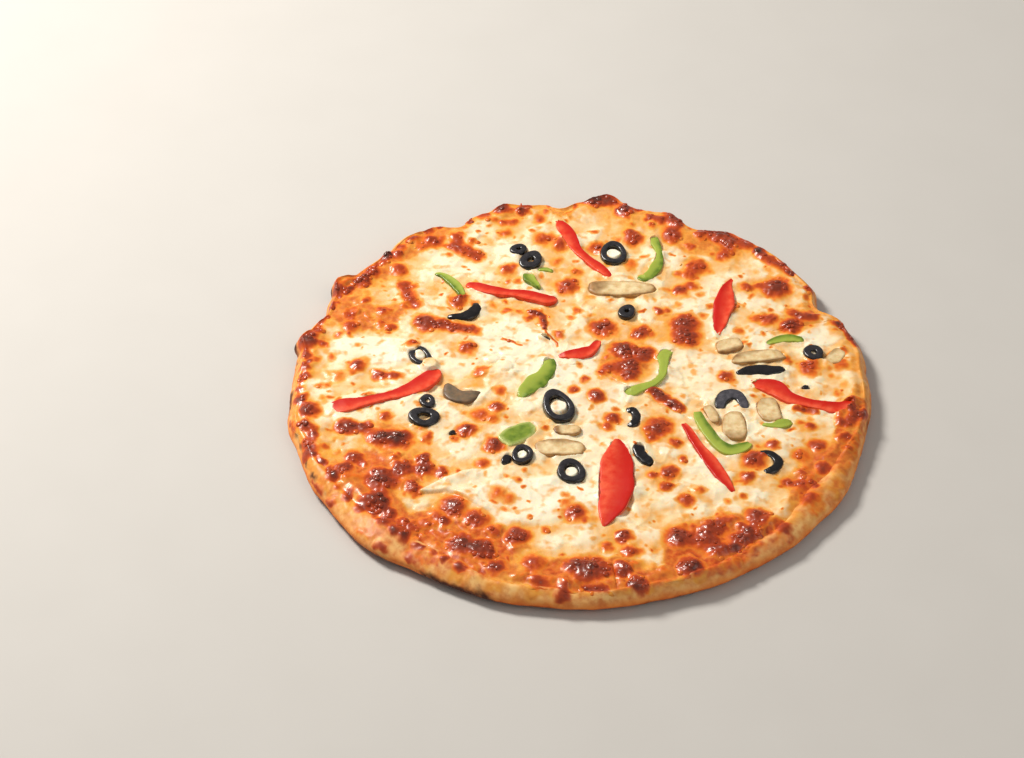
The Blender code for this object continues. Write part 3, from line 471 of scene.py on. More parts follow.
def splinePoint(p0, p1, p2, p3, t):  # on a smooth curve from p1 to p2
    return 0.5 * (2 * p1 + (p2 - p0) * t + (2 * p0 - 5 * p1 + 4 * p2 - p3) * t * t
                  + (3 * p1 - p0 - 3 * p2 + p3) * t ** 3)


def smoothPath(points, share):  # the point at that share of a smooth curve through the points
    spans = len(points) - 1
    span = min(int(share * spans), spans - 1)
    p1 = Vector(points[span])
    p2 = Vector(points[span + 1])
    p0 = Vector(points[span - 1]) if span > 0 else 2 * p1 - p2
    p3 = Vector(points[span + 2]) if span + 2 <= spans else 2 * p2 - p1
    return splinePoint(p0, p1, p2, p3, share * spans - span)


def stripFootprint(points):  # the part of the cheese that a strip lies on
    path = []
    for k in range(13):
        at = smoothPath(points, 0.035 + 0.93 * k / 12)
        path.append((at.x, at.y, at.z / 2))
    path[0] = (*path[0][:2], 0.1)
    path[-1] = (*path[-1][:2], 0.1)
    return path


stripFootprints = [stripFootprint(points) for points in (
    openRing, *oliveArcs, *redPeppers, *greenPeppers, *(points for _, points in scraps))]
plateFootprints = [
    (x, y, length / 2, width / 2, turn) for x, y, length, width, turn, *_ in (*mushrooms, pepperPlate)]
plateBlunt = 2.6  # 2 is an ellipse, more is blunter
filledRings = (3, 4, 7, 8, 9)  # olives whose holes are full of cheese
ringFootprints = [(x, y, w / 2, l / 2, turn, hole) for x, y, w, l, turn, hole, _, _ in oliveRings]


def toppingClearance(x, y):  # distance to the nearest topping, negative under it
    best = np.full_like(x, farAway)
    lowX, highX, lowY, highY = x.min() - 4, x.max() + 4, y.min() - 4, y.max() + 4
    for path in stripFootprints:
        if any(lowX < px < highX and lowY < py < highY for px, py, _ in path):
            best = np.minimum(best, nearPath(x, y, path))
    for middleX, middleY, length, width, turn in plateFootprints:
        along, across = turnedFrom(x, y, middleX, middleY, turn)
        out = np.abs(along / length) ** plateBlunt + np.abs(across / width) ** plateBlunt
        best = np.minimum(best, (out ** (1 / plateBlunt) - 1.0) * min(length, width))
    for middleX, middleY, width, length, turn, hole in ringFootprints:
        along, across = turnedFrom(x, y, middleX, middleY, turn)
        out = np.hypot(along / width, across / length)
        best = np.minimum(best, np.maximum(out - 1.0, hole - out) * min(length, width))
    return best


def cutSteps(x, y):  # one side of an open cut stands higher, with a groove at the cut
    total = np.zeros_like(x)
    for angle, start, end, step in openCuts:
        along, across = turnedFrom(x, y, *knifeCuts["meeting"], angle)
        gape = ease((along - start) / 4.0) * ease((end - along) / 4.0)
        total += gape * step * np.where(across < 0.0, np.exp(-np.abs(across) / 5.0), 0.0)
        total -= gape * (0.2 + 0.5 * step) * np.exp(-(across / 0.9) ** 2)
    return total


# Slices that the cheese hides show as lumps: x, y, reach, height
buriedLumps = (
    (-37, 8, 15, 1.5), (8, 51, 10, 1.0), (28, 53, 8, 0.9), (114, -5, 7, 1.2), (57, 10, 8, 0.9),
    (-65, -18, 5, 0.9), (98, 2, 8, 0.7), (96, 22, 9, 0.7),
)


def lumpRise(x, y):  # how far those lumps lift the cheese
    total = np.zeros_like(x)
    for middleX, middleY, reach, rise in buriedLumps:
        total += rise * hump(np.hypot(x - middleX, y - middleY), reach)
    return total * (0.25 + 0.75 * bubbleDomes(x, y, 6.5, 91))


def cheeseTop(x, y):  # height of the cheese, its browning, sauce colour and thickness
    gx = x + gridCentre[0]
    gy = y + gridCentre[1]
    brown = browning(gx, gy)
    sauce = sauceColour(gx, gy)
    thick = thickness(gx, gy)
    height = cheese["top"] + 0.22 * np.sin(x / 9.0) * np.cos(y / 11.0)
    for middleX, middleY, reach, lower in thinPlaces:
        height -= lower * hump(np.hypot(gx - middleX, gy - middleY), reach)
    angle = bearing(x, y)
    inside = outlineRadius(angle) - rimWidth(angle) - np.hypot(x, y)
    height += cheese["bank"] * hump(np.maximum(inside, 0.0), dough["slope"])
    height += blisterRise(gx, gy) + cheese["slab"] * thick + 0.5 * latticeNoise(gx, gy, 15.0, 41, 2)
    height += 0.26 * latticeNoise(gx, gy, 6.0, 42, 1) + 0.05 * latticeNoise(gx, gy, 2.4, 43, 2)
    fold = 1.0 - np.abs(latticeNoise(gx, gy, 12.0, 44, 2))
    height += cheese["fold"] * fold ** 5
    height += cutSteps(x, y) + lumpRise(gx, gy)
    rough = np.clip(brown - 0.22, 0.0, 0.7) + 0.35 * sauce * (1.0 - thick)
    domes = 0.9 * bubbleDomes(gx, gy, domeSizes["middle"], 51)
    domes += 0.5 * bubbleDomes(gx, gy, domeSizes["small"], 52)
    height += cheese["bubble"] * rough * domes
    past = nearPath(gx, gy, whiteTongue)
    tongue = ease(0.4 - past / 1.2) * ease((-34.0 - gx) / 16.0)
    height += cheese["tongue"] * tongue * np.exp(-((past + 1.4) / 3.4) ** 2)
    pale = tongue * np.clip(0.75 + 0.35 * latticeNoise(gx, gy, 6.0, 93, 2), 0.0, 1.0)
    thick = np.maximum(thick, 0.7 * pale)
    brown = brown * (1.0 - 0.8 * pale)
    sauce = sauce * (1.0 - 0.85 * pale)
    clear = toppingClearance(gx, gy)
    lip = cheese["lip"] * np.clip(0.7 + 1.1 * latticeNoise(gx, gy, 6.0, 61, 2), 0.0, 2.2)
    height += lip * np.exp(-np.maximum(clear, 0.0) / cheese["lipReach"])
    for k, (middleX, middleY, width, length, _, hole) in enumerate(ringFootprints, 1):
        filled = ease(min(width, length) * hole + 0.3 - np.hypot(gx - middleX, gy - middleY))
        height += (cheese["ringFill"] if k in filledRings else -cheese["ringDip"]) * filled
        if k in filledRings:
            thick = np.maximum(thick, filled)
            brown = brown * (1.0 - filled)
            sauce = sauce * (1.0 - filled)
    under = ease(-clear / 0.9)
    height = height * (1.0 - under) + (cheese["seat"] + cheese["overSeat"]) * under
    for middleX, middleY, reach in cheeseLaps:
        over = ease((reach + 1.2 - np.hypot(gx - middleX, gy - middleY)) / 2.6)
        height = height * (1.0 - over) + (cheese["seat"] + cheese["lap"]) * over
    return height, brown, sauce, thick


def addNode(tree, kind, sockets=None, **settings):
    made = tree.nodes.new(kind)
    for name, value in settings.items():
        setattr(made, name, value)
    for name, value in (sockets or {}).items():
        if isinstance(value, bpy.types.NodeSocket):
            tree.links.new(value, made.inputs[name])
        else:
            made.inputs[name].default_value = value
    return made


def addMath(tree, operation, first, second=0.0, third=0.0, clamp=False):
    made = addNode(tree, "ShaderNodeMath", {0: first, 1: second, 2: third}, operation=operation)
    made.use_clamp = clamp
    return made.outputs[0]


def stretched(tree, value, times, plus):  # the value times one number plus another, held to 0 to 1
    return addMath(tree, "MULTIPLY_ADD", value, times, plus, True)


def mixColours(tree, share, first, second):
    made = addNode(tree, "ShaderNodeMix", {0: share, 6: first, 7: second}, data_type="RGBA")
    return made.outputs[2]


def objectPlace(tree):
    return addNode(tree, "ShaderNodeTexCoord").outputs["Object"]


def addRamp(tree, value, stops):
    made = addNode(tree, "ShaderNodeValToRGB", {0: value})
    marks = made.color_ramp.elements
    while len(marks) < len(stops):
        marks.new(1.0)
    for mark, (place, colour) in zip(marks, stops):
        mark.position = place
        mark.color = colour
    return made


def grain(tree, coordinates, size, detail=3.0, roughness=0.5):  # noise with spots of about that size in mm
    made = addNode(tree, "ShaderNodeTexNoise", {
        "Vector": coordinates, "Scale": 1.0 / (size * mm), "Detail": detail, "Roughness": roughness})
    return made.outputs["Fac"]


def newGroup(name, inputs, outputs):
    group = bpy.data.node_groups.new(name, "ShaderNodeTree")
    for label, value in inputs:
        socket = group.interface.new_socket(name=label, in_out="INPUT", socket_type="NodeSocketFloat")
        socket.default_value = value
    for label, kind in outputs:
        group.interface.new_socket(name=label, in_out="OUTPUT", socket_type=kind)
    return group, group.nodes.new("NodeGroupInput"), group.nodes.new("NodeGroupOutput")


bakedColours = {
    "cream": tint(248, 223, 172), "warm": tint(238, 172, 90), "white": tint(254, 246, 222),
    "stain": tint(238, 164, 68), "sauce": tint(212, 90, 28), "sauceDeep": tint(176, 54, 16),
    "sauceLight": tint(234, 138, 48), "yellow": tint(240, 166, 60), "orange": tint(232, 116, 28),
    "red": tint(190, 70, 20), "brown": tint(144, 52, 24), "dark": tint(92, 44, 32),
}


def makeBakedGroup():
    group, given, out = newGroup(
        "bakedSurface", (("Browning", 0.0), ("Sauce", 0.0), ("Thickness", 0.0)),
        (("Colour", "NodeSocketColor"), ("Roughness", "NodeSocketFloat"),
         ("Oil", "NodeSocketFloat"), ("Height", "NodeSocketFloat")))
    place = objectPlace(group)
    broad = grain(group, place, 9.0)
    middle = grain(group, place, 3.2)
    fine = grain(group, place, 1.3, 4.0, 0.6)
    grit = grain(group, place, 0.5, 3.0, 0.6)
    colours = bakedColours
    pool = addMath(group, "MULTIPLY_ADD", broad, 2.4, -0.68)
    pool = stretched(group, given.outputs["Thickness"], -0.9, pool)
    base = mixColours(group, pool, colours["cream"], colours["warm"])
    base = mixColours(group, given.outputs["Thickness"], base, colours["white"])
    stain = stretched(group, grain(group, place, 5.0, 1.5), 5.6, -3.0)
    base = mixColours(group, addMath(group, "MULTIPLY", stain, 0.85), base, colours["stain"])
    patchy = stretched(group, middle, 3.4, -0.7)
    sauce = mixColours(group, patchy, colours["sauceLight"], colours["sauce"])
    deep = stretched(group, middle, 5.0, -2.45)
    sauce = mixColours(group, deep, sauce, colours["sauceDeep"])
    share = addMath(group, "MULTIPLY_ADD", middle, 0.7, -0.35)
    share = stretched(group, given.outputs["Sauce"], 1.25, share)
    share = addMath(group, "MULTIPLY", share, given.outputs["Sauce"], 0.0, True)
    base = mixColours(group, addMath(group, "MULTIPLY", share, 1.7, 0.0, True), base, colours["stain"])
    share = stretched(group, share, 2.0, -1.0)
    base = mixColours(group, share, base, sauce)
    uneven = addMath(group, "MULTIPLY_ADD", fine, 0.24, -0.12)
    uneven = addMath(group, "MULTIPLY", uneven, addMath(group, "ADD", given.outputs["Browning"], 0.12))
    baked = addMath(group, "ADD", given.outputs["Browning"], uneven)
    baked = addMath(group, "MULTIPLY", baked, 0.76)
    ramp = addRamp(group, baked, (
        (0.015, colours["yellow"][:3] + (0.0,)), (0.11, colours["yellow"][:3] + (0.85,)),
        (0.25, colours["orange"]), (0.42, colours["red"]), (0.66, colours["brown"]), (0.95, colours["dark"])))
    late = stretched(group, baked, 7.0, -0.8)
    plain = addMath(group, "SUBTRACT", 1.0, share)
    cover = addMath(group, "MULTIPLY", ramp.outputs["Alpha"], addMath(group, "MAXIMUM", late, plain))
    colour = mixColours(group, cover, base, ramp.outputs["Color"])
    oil = stretched(group, baked, 0.38, 0.04)
    rough = stretched(group, fine, 0.25, 0.22)
    froth = addNode(
        group, "ShaderNodeTexVoronoi", {"Vector": place, "Scale": 1.0 / (2.2 * mm)}, feature="SMOOTH_F1")
    froth = addMath(group, "MULTIPLY", addMath(group, "MULTIPLY", froth.outputs["Distance"], -1.6), baked)
    height = addMath(group, "MULTIPLY_ADD", fine, 0.3, addMath(group, "MULTIPLY_ADD", grit, 0.08, froth))
    for label, value in (("Colour", colour), ("Roughness", rough), ("Oil", oil), ("Height", height)):
        group.links.new(value, out.inputs[label])
    return group


bakedGroup = makeBakedGroup()


def newMaterial(name, **settings):
    material = bpy.data.materials.new(name)
    material.use_nodes = True
    shader = material.node_tree.nodes["Principled BSDF"]
    for label, value in settings.items():
        shader.inputs[label.replace("_", " ")].default_value = value
    return material, material.node_tree, shader


def readAttribute(tree, name):
    return addNode(tree, "ShaderNodeAttribute", attribute_name=name).outputs["Fac"]


def addBump(tree, shader, height, strength, distance):
    bump = addNode(tree, "ShaderNodeBump", {
        "Height": height, "Strength": strength, "Distance": distance * mm})
    tree.links.new(bump.outputs[0], shader.inputs["Normal"])


def makeCheeseMaterial():
    material, tree, shader = newMaterial(
        "melted_cheese_finish", Coat_Roughness=0.12, Specular_IOR_Level=0.35, Subsurface_Weight=0.18,
        Subsurface_Radius=(1.0, 0.6, 0.3), Subsurface_Scale=1.6 * mm)
    baked = addNode(tree, "ShaderNodeGroup", node_tree=bakedGroup)
    for label in ("Browning", "Sauce", "Thickness"):
        tree.links.new(readAttribute(tree, label.lower()), baked.inputs[label])
    tree.links.new(baked.outputs["Colour"], shader.inputs["Base Color"])
    tree.links.new(baked.outputs["Roughness"], shader.inputs["Roughness"])
    tree.links.new(baked.outputs["Oil"], shader.inputs["Coat Weight"])
    addBump(tree, shader, baked.outputs["Height"], 0.7, 0.35)
    return material


def makeCrustMaterial():
    material, tree, shader = newMaterial("baked_dough_finish", Coat_Roughness=0.2, Specular_IOR_Level=0.3)
    baked = addNode(tree, "ShaderNodeGroup", node_tree=bakedGroup)
    for label in ("Browning", "Sauce"):
        tree.links.new(readAttribute(tree, label.lower()), baked.inputs[label])
    place = objectPlace(tree)
    up = addNode(tree, "ShaderNodeSeparateXYZ", {0: place}).outputs["Z"]
    wander = addMath(tree, "MULTIPLY_ADD", grain(tree, place, 8.0), 6.0 * mm, -3.0 * mm)
    level = addMath(tree, "DIVIDE", addMath(tree, "ADD", up, wander), 10.0 * mm)
    # Colour by height on the rim's side: lighter towards the top and darker towards the foot. The dark foot
    # is partly the underside's real darker bake and partly painted shade under the overhanging rim.
    side = addRamp(tree, level, (
        (0.0, tint(84, 38, 18)), (0.16, tint(146, 66, 26)), (0.34, tint(218, 106, 36)),
        (0.50, tint(236, 144, 64)), (0.86, tint(250, 196, 122))))
    freckle = stretched(tree, grain(tree, place, 5.0, 4.0, 0.6), 4.4, -1.95)
    colour = mixColours(tree, addMath(tree, "MULTIPLY", freckle, 0.8), side.outputs[0], tint(208, 108, 46))
    colour = mixColours(tree, readAttribute(tree, "scorch"), colour, tint(72, 30, 14))
    topped = readAttribute(tree, "topped")
    colour = mixColours(tree, topped, colour, baked.outputs["Colour"])
    tree.links.new(colour, shader.inputs["Base Color"])
    rough = addMath(tree, "MULTIPLY_ADD", topped, -0.14, 0.60)
    tree.links.new(rough, shader.inputs["Roughness"])
    oil = addMath(tree, "MULTIPLY", addMath(tree, "MULTIPLY", topped, 0.45), baked.outputs["Oil"])
    tree.links.new(oil, shader.inputs["Coat Weight"])
    addBump(tree, shader, baked.outputs["Height"], 0.6, 0.3)
    return material


def finishTopping(tree, shader, colour, place, roughSize, roughness, bumpSize, bumpStrength):
    tree.links.new(colour, shader.inputs["Base Color"])
    rough = addMath(tree, "MULTIPLY_ADD", grain(tree, place, roughSize), 0.2, roughness)
    tree.links.new(rough, shader.inputs["Roughness"])
    addBump(tree, shader, grain(tree, place, bumpSize), bumpStrength, 0.2)


def makeOliveMaterial():
    material, tree, shader = newMaterial("black_olive_finish", Coat_Weight=0.15, Coat_Roughness=0.12)
    place = objectPlace(tree)
    patch = stretched(tree, grain(tree, place, 2.4), 2.4, -0.9)
    skin = mixColours(tree, patch, tint(14, 12, 14), tint(30, 24, 27))
    flesh = mixColours(tree, patch, tint(62, 60, 66), tint(96, 92, 98))
    colour = mixColours(tree, readAttribute(tree, "flesh"), skin, flesh)
    finishTopping(tree, shader, colour, place, 1.0, 0.18, 0.7, 0.25)
    return material


def makePepperMaterial(name, skinColours, halfShadingAndInnerColour, fleshColour):
    material, tree, shader = newMaterial(
        name, Coat_Weight=0.18, Coat_Roughness=0.12, Specular_IOR_Level=0.3, Subsurface_Weight=0.12,
        Subsurface_Radius=(1.0, 0.5, 0.2), Subsurface_Scale=1.2 * mm)
    place = objectPlace(tree)
    patch = stretched(tree, grain(tree, place, 4.0), 2.8, -0.9)
    skin = mixColours(tree, patch, skinColours[0], skinColours[1])
    # Painted shading: one half of each strip across is darker on the red strips and lighter on the green
    # ones. On the pale green strips the same colour is their real pale inner side.
    skin = mixColours(tree, readAttribute(tree, "side"), skin, halfShadingAndInnerColour)
    speck = stretched(tree, grain(tree, place, 0.9), 3.0, -1.5)
    flesh = mixColours(tree, speck, fleshColour, skinColours[1])
    colour = mixColours(tree, readAttribute(tree, "flesh"), skin, flesh)
    finishTopping(tree, shader, colour, place, 1.6, 0.32, 1.2, 0.25)
    return material


def makeMushroomMaterial():
    material, tree, shader = newMaterial("mushroom_finish", Subsurface_Weight=0.1, Subsurface_Scale=1.0 * mm)
    place = objectPlace(tree)
    patch = stretched(tree, grain(tree, place, 3.0, 4.0), 2.6, -0.9)
    flesh = mixColours(tree, patch, tint(242, 220, 172), tint(212, 172, 112))
    rind = mixColours(tree, patch, tint(202, 158, 98), tint(150, 106, 58))
    colour = mixColours(tree, readAttribute(tree, "rind"), flesh, rind)
    stain = mixColours(tree, patch, tint(168, 118, 60), tint(104, 68, 34))
    colour = mixColours(tree, readAttribute(tree, "stain"), colour, stain)
    dark = mixColours(tree, patch, tint(58, 42, 34), tint(128, 98, 72))
    colour = mixColours(tree, readAttribute(tree, "gills"), colour, dark)
    finishTopping(tree, shader, colour, place, 1.0, 0.34, 0.8, 0.2)
    return material


print("materials")
finishes = {
    "melted_cheese": makeCheeseMaterial(),
    "baked_dough": makeCrustMaterial(),
    "black_olive": makeOliveMaterial(),
    "red_pepper": makePepperMaterial(
        "red_pepper_finish", (tint(242, 98, 62), tint(224, 50, 18)),
        tint(202, 24, 4), tint(242, 128, 88)),
    "green_pepper": makePepperMaterial(
        "green_pepper_finish", (tint(134, 154, 50), tint(82, 112, 22)),
        tint(166, 180, 70), tint(210, 214, 132)),
    "mushroom": makeMushroomMaterial(),
}


# Fine bubbles on the browned places: how many to a square metre, least and greatest radius, flatness
froth = {"Density": 0.8e5, "Smallest": 0.6 * mm, "Largest": 1.5 * mm, "Flatness": 0.34, "Seed": 5}


def makeFrothTree():
    tree = bpy.data.node_groups.new("bakedFroth", "GeometryNodeTree")
    tree.interface.new_socket(name="Geometry", in_out="INPUT", socket_type="NodeSocketGeometry")
    for label, value in froth.items():
        kind = "NodeSocketInt" if label == "Seed" else "NodeSocketFloat"
        tree.interface.new_socket(name=label, in_out="INPUT", socket_type=kind).default_value = value
    tree.interface.new_socket(name="Finish", in_out="INPUT", socket_type="NodeSocketMaterial")
    tree.interface.new_socket(name="Geometry", in_out="OUTPUT", socket_type="NodeSocketGeometry")
    given = tree.nodes.new("NodeGroupInput").outputs
    browned = addNode(tree, "GeometryNodeInputNamedAttribute", {"Name": "browning"}, data_type="FLOAT")
    share = stretched(tree, browned.outputs["Attribute"], 2.0, -0.6)
    density = addMath(tree, "MULTIPLY", share, given["Density"])
    scatter = addNode(tree, "GeometryNodeDistributePointsOnFaces", {
        "Mesh": given["Geometry"], "Density": density, "Seed": given["Seed"]})
    dome = addNode(tree, "GeometryNodeMeshIcoSphere", {"Radius": 1.0, "Subdivisions": 2})
    dome = addNode(tree, "GeometryNodeSetShadeSmooth", {"Geometry": dome.outputs["Mesh"]})
    radius = addNode(tree, "FunctionNodeRandomValue", {
        2: given["Smallest"], 3: given["Largest"], "Seed": given["Seed"]}, data_type="FLOAT").outputs[1]
    flat = addMath(tree, "MULTIPLY", radius, given["Flatness"])
    size = addNode(tree, "ShaderNodeCombineXYZ", {"X": radius, "Y": radius, "Z": flat})
    placed = addNode(tree, "GeometryNodeInstanceOnPoints", {
        "Points": scatter.outputs["Points"], "Instance": dome.outputs["Geometry"],
        "Rotation": scatter.outputs["Rotation"], "Scale": size.outputs["Vector"]})
    joined = tree.nodes.new("GeometryNodeJoinGeometry")
    tree.links.new(placed.outputs["Instances"], joined.inputs["Geometry"])
    tree.links.new(given["Geometry"], joined.inputs["Geometry"])
    plain = addNode(tree, "GeometryNodeRealizeInstances", {"Geometry": joined.outputs["Geometry"]})
    finished = addNode(tree, "GeometryNodeSetMaterial", {
        "Geometry": plain.outputs["Geometry"], "Material": given["Finish"]})
    out = tree.nodes.new("NodeGroupOutput")
    tree.links.new(finished.outputs["Geometry"], out.inputs["Geometry"])
    return tree


frothTree = makeFrothTree()


def addFroth(piece, finish, seed):
    modifier = piece.modifiers.new("froth", "NODES")
    modifier.node_group = frothTree
    for socket in frothTree.interface.items_tree:
        if socket.in_out == "INPUT" and socket.name == "Finish":
            modifier[socket.identifier] = finish
        elif socket.in_out == "INPUT" and socket.name in froth:
            modifier[socket.identifier] = froth[socket.name] + (seed if socket.name == "Seed" else 0)
    current = bpy.context.evaluated_depsgraph_get()
    mesh = bpy.data.meshes.new_from_object(
        piece.evaluated_get(current), preserve_all_data_layers=True, depsgraph=current)
    piece.modifiers.clear()
    old = piece.data
    piece.data = mesh
    bpy.data.meshes.remove(old)
    mesh.name = piece.name


def newPiece(name, points, faces, slotName, node, fields=None, frothSeed=None):
    mesh = bpy.data.meshes.new(name)
    mesh.from_pydata((np.asarray(points) * mm).tolist(), [], faces)
    mesh.materials.append(finishes[slotName])
    for label, values in (fields or {}).items():
        stored = mesh.attributes.new(label, "FLOAT", "POINT")
        stored.data.foreach_set("value", np.asarray(values, np.float32))
    shell = bmesh.new()
    shell.from_mesh(mesh)
    bmesh.ops.recalc_face_normals(shell, faces=shell.faces)
    shell.to_mesh(mesh)
    shell.free()
    mesh.shade_smooth()
    mesh.set_sharp_from_angle(angle=math.radians(60.0))
    piece = bpy.data.objects.new(name, mesh)
    scene.collection.objects.link(piece)
    if frothSeed is not None:
        addFroth(piece, finishes[slotName], frothSeed)
    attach(piece, "root")
    if node:
        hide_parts(node)


def gridFaces(rows, columns, first=0):  # quads over a grid of points numbered row by row
    faces = []
    for row in range(rows - 1):
        start = first + row * columns
        faces += [(k, k + 1, k + 1 + columns, k + columns) for k in range(start, start + columns - 1)]
    return faces


def fromMeeting(directions, reach):  # points that far from where the cuts meet
    return (knifeCuts["meeting"][0] + directions[:, 0] * reach,
            knifeCuts["meeting"][1] + directions[:, 1] * reach)


def loopFaces(loops, around, closed=False):  # quads between loops of points, with end caps unless closed
    faces = []
    for k in range(loops if closed else loops - 1):
        here = k * around
        there = (k + 1) % loops * around
        for m in range(around):
            n = (m + 1) % around
            faces.append((here + m, here + n, there + n, there + m))
    if not closed:
        faces.append(tuple(range(around - 1, -1, -1)))
        faces.append(tuple(range((loops - 1) * around, loops * around)))
    return faces


def raysOfSlice(start, end, spacing):  # directions from where the cuts meet, and how far the outline is
    span = (end - start) % 360.0
    columns = round(math.radians(span) * dough["radius"] / spacing)
    a = np.radians(start + span * np.arange(columns + 1) / columns)
    directions = np.stack((np.cos(a), np.sin(a)), axis=1)
    near = np.zeros(len(a))
    far = np.full(len(a), 2.0 * dough["radius"])
    for _ in range(30):
        reach = (near + far) / 2
        x, y = fromMeeting(directions, reach)
        inside = np.hypot(x, y) < outlineRadius(bearing(x, y))
        near = np.where(inside, reach, near)
        far = np.where(inside, far, reach)
    return directions, near


def cheeseReach(directions, outline):  # how far the cheese goes along each ray
    x, y = fromMeeting(directions, outline)
    width = rimWidth(bearing(x, y))
    inset = 2.4 + 1.2 * np.maximum(width - 6.2, 0.0) + 0.7 * latticeNoise(x, y, 7.0, 71)
    return outline - np.minimum(inset, width + 0.5)


def addCheeseSlice(number, start, end, spacing):
    directions, outline = raysOfSlice(start, end, spacing)
    reach = cheeseReach(directions, outline)
    columns = len(directions)
    rows = round(dough["radius"] / spacing)
    share = np.arange(1, rows + 1) / rows
    along = share[:, None] * reach[None, :]
    x, y = fromMeeting(directions, along)
    x = np.concatenate(([knifeCuts["meeting"][0]], x.ravel()))
    y = np.concatenate(([knifeCuts["meeting"][1]], y.ravel()))
    height, brown, sauce, thick = cheeseTop(x, y)
    fromEdge = np.concatenate(([farAway], (reach[None, :] - along).ravel()))
    base = doughHeight(x, y)
    edgeX = x[-columns:]
    edgeY = y[-columns:]
    width = rimWidth(bearing(edgeX, edgeY))
    uneven = np.maximum(latticeNoise(edgeX, edgeY, 7.0, 72), 0.0)
    atRim = 0.05 + 0.55 * np.clip(0.6 * brown[-columns:] + uneven, 0.0, 1.0)
    atRim *= 1.0 - 0.85 * ease((width - 7.0) / 3.0)
    edgeRise = cheese["edge"] * np.concatenate(([1.0], np.tile(atRim, rows)))
    rounded = base + edgeRise * ease(0.1 + fromEdge / 3.4) - 0.05
    blend = ease(fromEdge / 7.0)
    height = rounded * (1.0 - blend) + np.maximum(height, base + 0.4) * blend
    height += 0.8 * blisterRise(x + gridCentre[0], y + gridCentre[1]) * (1.0 - blend)
    points = np.stack((x, y, height), axis=1)
    faces = [(0, k + 1, k + 2) for k in range(columns - 1)] + gridFaces(rows, columns, 1)
    first = len(points)
    floor = dough["floor"] + 0.05
    middle = fromMeeting(directions, outline - width - dough["slope"])
    flat = np.stack((*middle, np.full(columns, floor)), axis=1)
    rim = np.stack((edgeX, edgeY, doughHeight(edgeX, edgeY) - 0.6), axis=1)
    tip = np.array([[*knifeCuts["meeting"], floor]])
    points = np.concatenate((points, flat, rim, tip))
    last = len(points) - 1
    faces += [(last, first + k + 1, first + k) for k in range(columns - 1)]
    faces += gridFaces(2, columns, first)
    top = first - columns
    low = first + columns
    faces += [(top + k, top + k + 1, low + k + 1, low + k) for k in range(columns - 1)]
    sideA = [0] + [1 + row * columns for row in range(rows)]
    sideB = [0] + [row * columns + columns for row in range(rows)]
    faces.append((*sideA, low, first, last))
    faces.append((last, low - 1, low + columns - 1, *reversed(sideB)))
    fields = {}
    for label, values in (("browning", brown), ("sauce", sauce), ("thickness", thick)):
        fields[label] = np.concatenate((values, np.zeros(2 * columns + 1)))
    newPiece(f"melted_cheese_{number}", points, faces, "melted_cheese", f"cheese_slice_{number}", fields,
             frothSeed=number)


rimProfile = {"rows": 46, "wave": 0.35, "pits": 0.10, "blisters": 0.8}
# The near side of the rim, where dough shows: in degrees, then how much of it, less in the sauce zones
bareRim = {"start": 222.0, "end": 356.0, "fade": 12.0, "share": 0.55, "inZones": 0.75, "patches": 0.8}
# Scorched stretches of the rim: angle, half width in degrees, height, half height, strength
scorchMarks = (
    (204, 12, 8.6, 2.6, 1.0), (248, 9, 4.0, 3.4, 0.9), (232, 6, 3.2, 2.4, 0.6), (262, 8, 2.6, 2.4, 0.5),
    (150, 8, 5.0, 3.6, 0.8), (169, 7, 5.5, 3.6, 0.8), (186, 7, 5.0, 3.0, 0.7), (84, 9, 7.0, 4.0, 0.7),
    (20, 8, 6.5, 3.0, 0.6), (352, 7, 5.5, 2.6, 0.45), (290, 10, 2.4, 2.0, 0.5), (318, 9, 2.6, 2.2, 0.5),
    (120, 9, 6.0, 3.4, 0.6), (50, 10, 6.0, 3.0, 0.6),
)


def scorching(angle, up, gx, gy):  # dark bake on the rim's side
    ragged = 0.35 * latticeNoise(gx + up, gy - up, 6.0, 86) + 0.15 * latticeNoise(gx, gy + up, 2.0, 87)
    total = np.zeros_like(up)
    for middle, halfWidth, level, halfHeight, strength in scorchMarks:
        away = np.hypot(turnBetween(angle, middle) / halfWidth, (up - level) / halfHeight) + ragged
        total = np.maximum(total, strength * hump(np.clip(away, 0.0, 1.0), 1.0))
    return np.clip(1.3 * total, 0.0, 1.0)


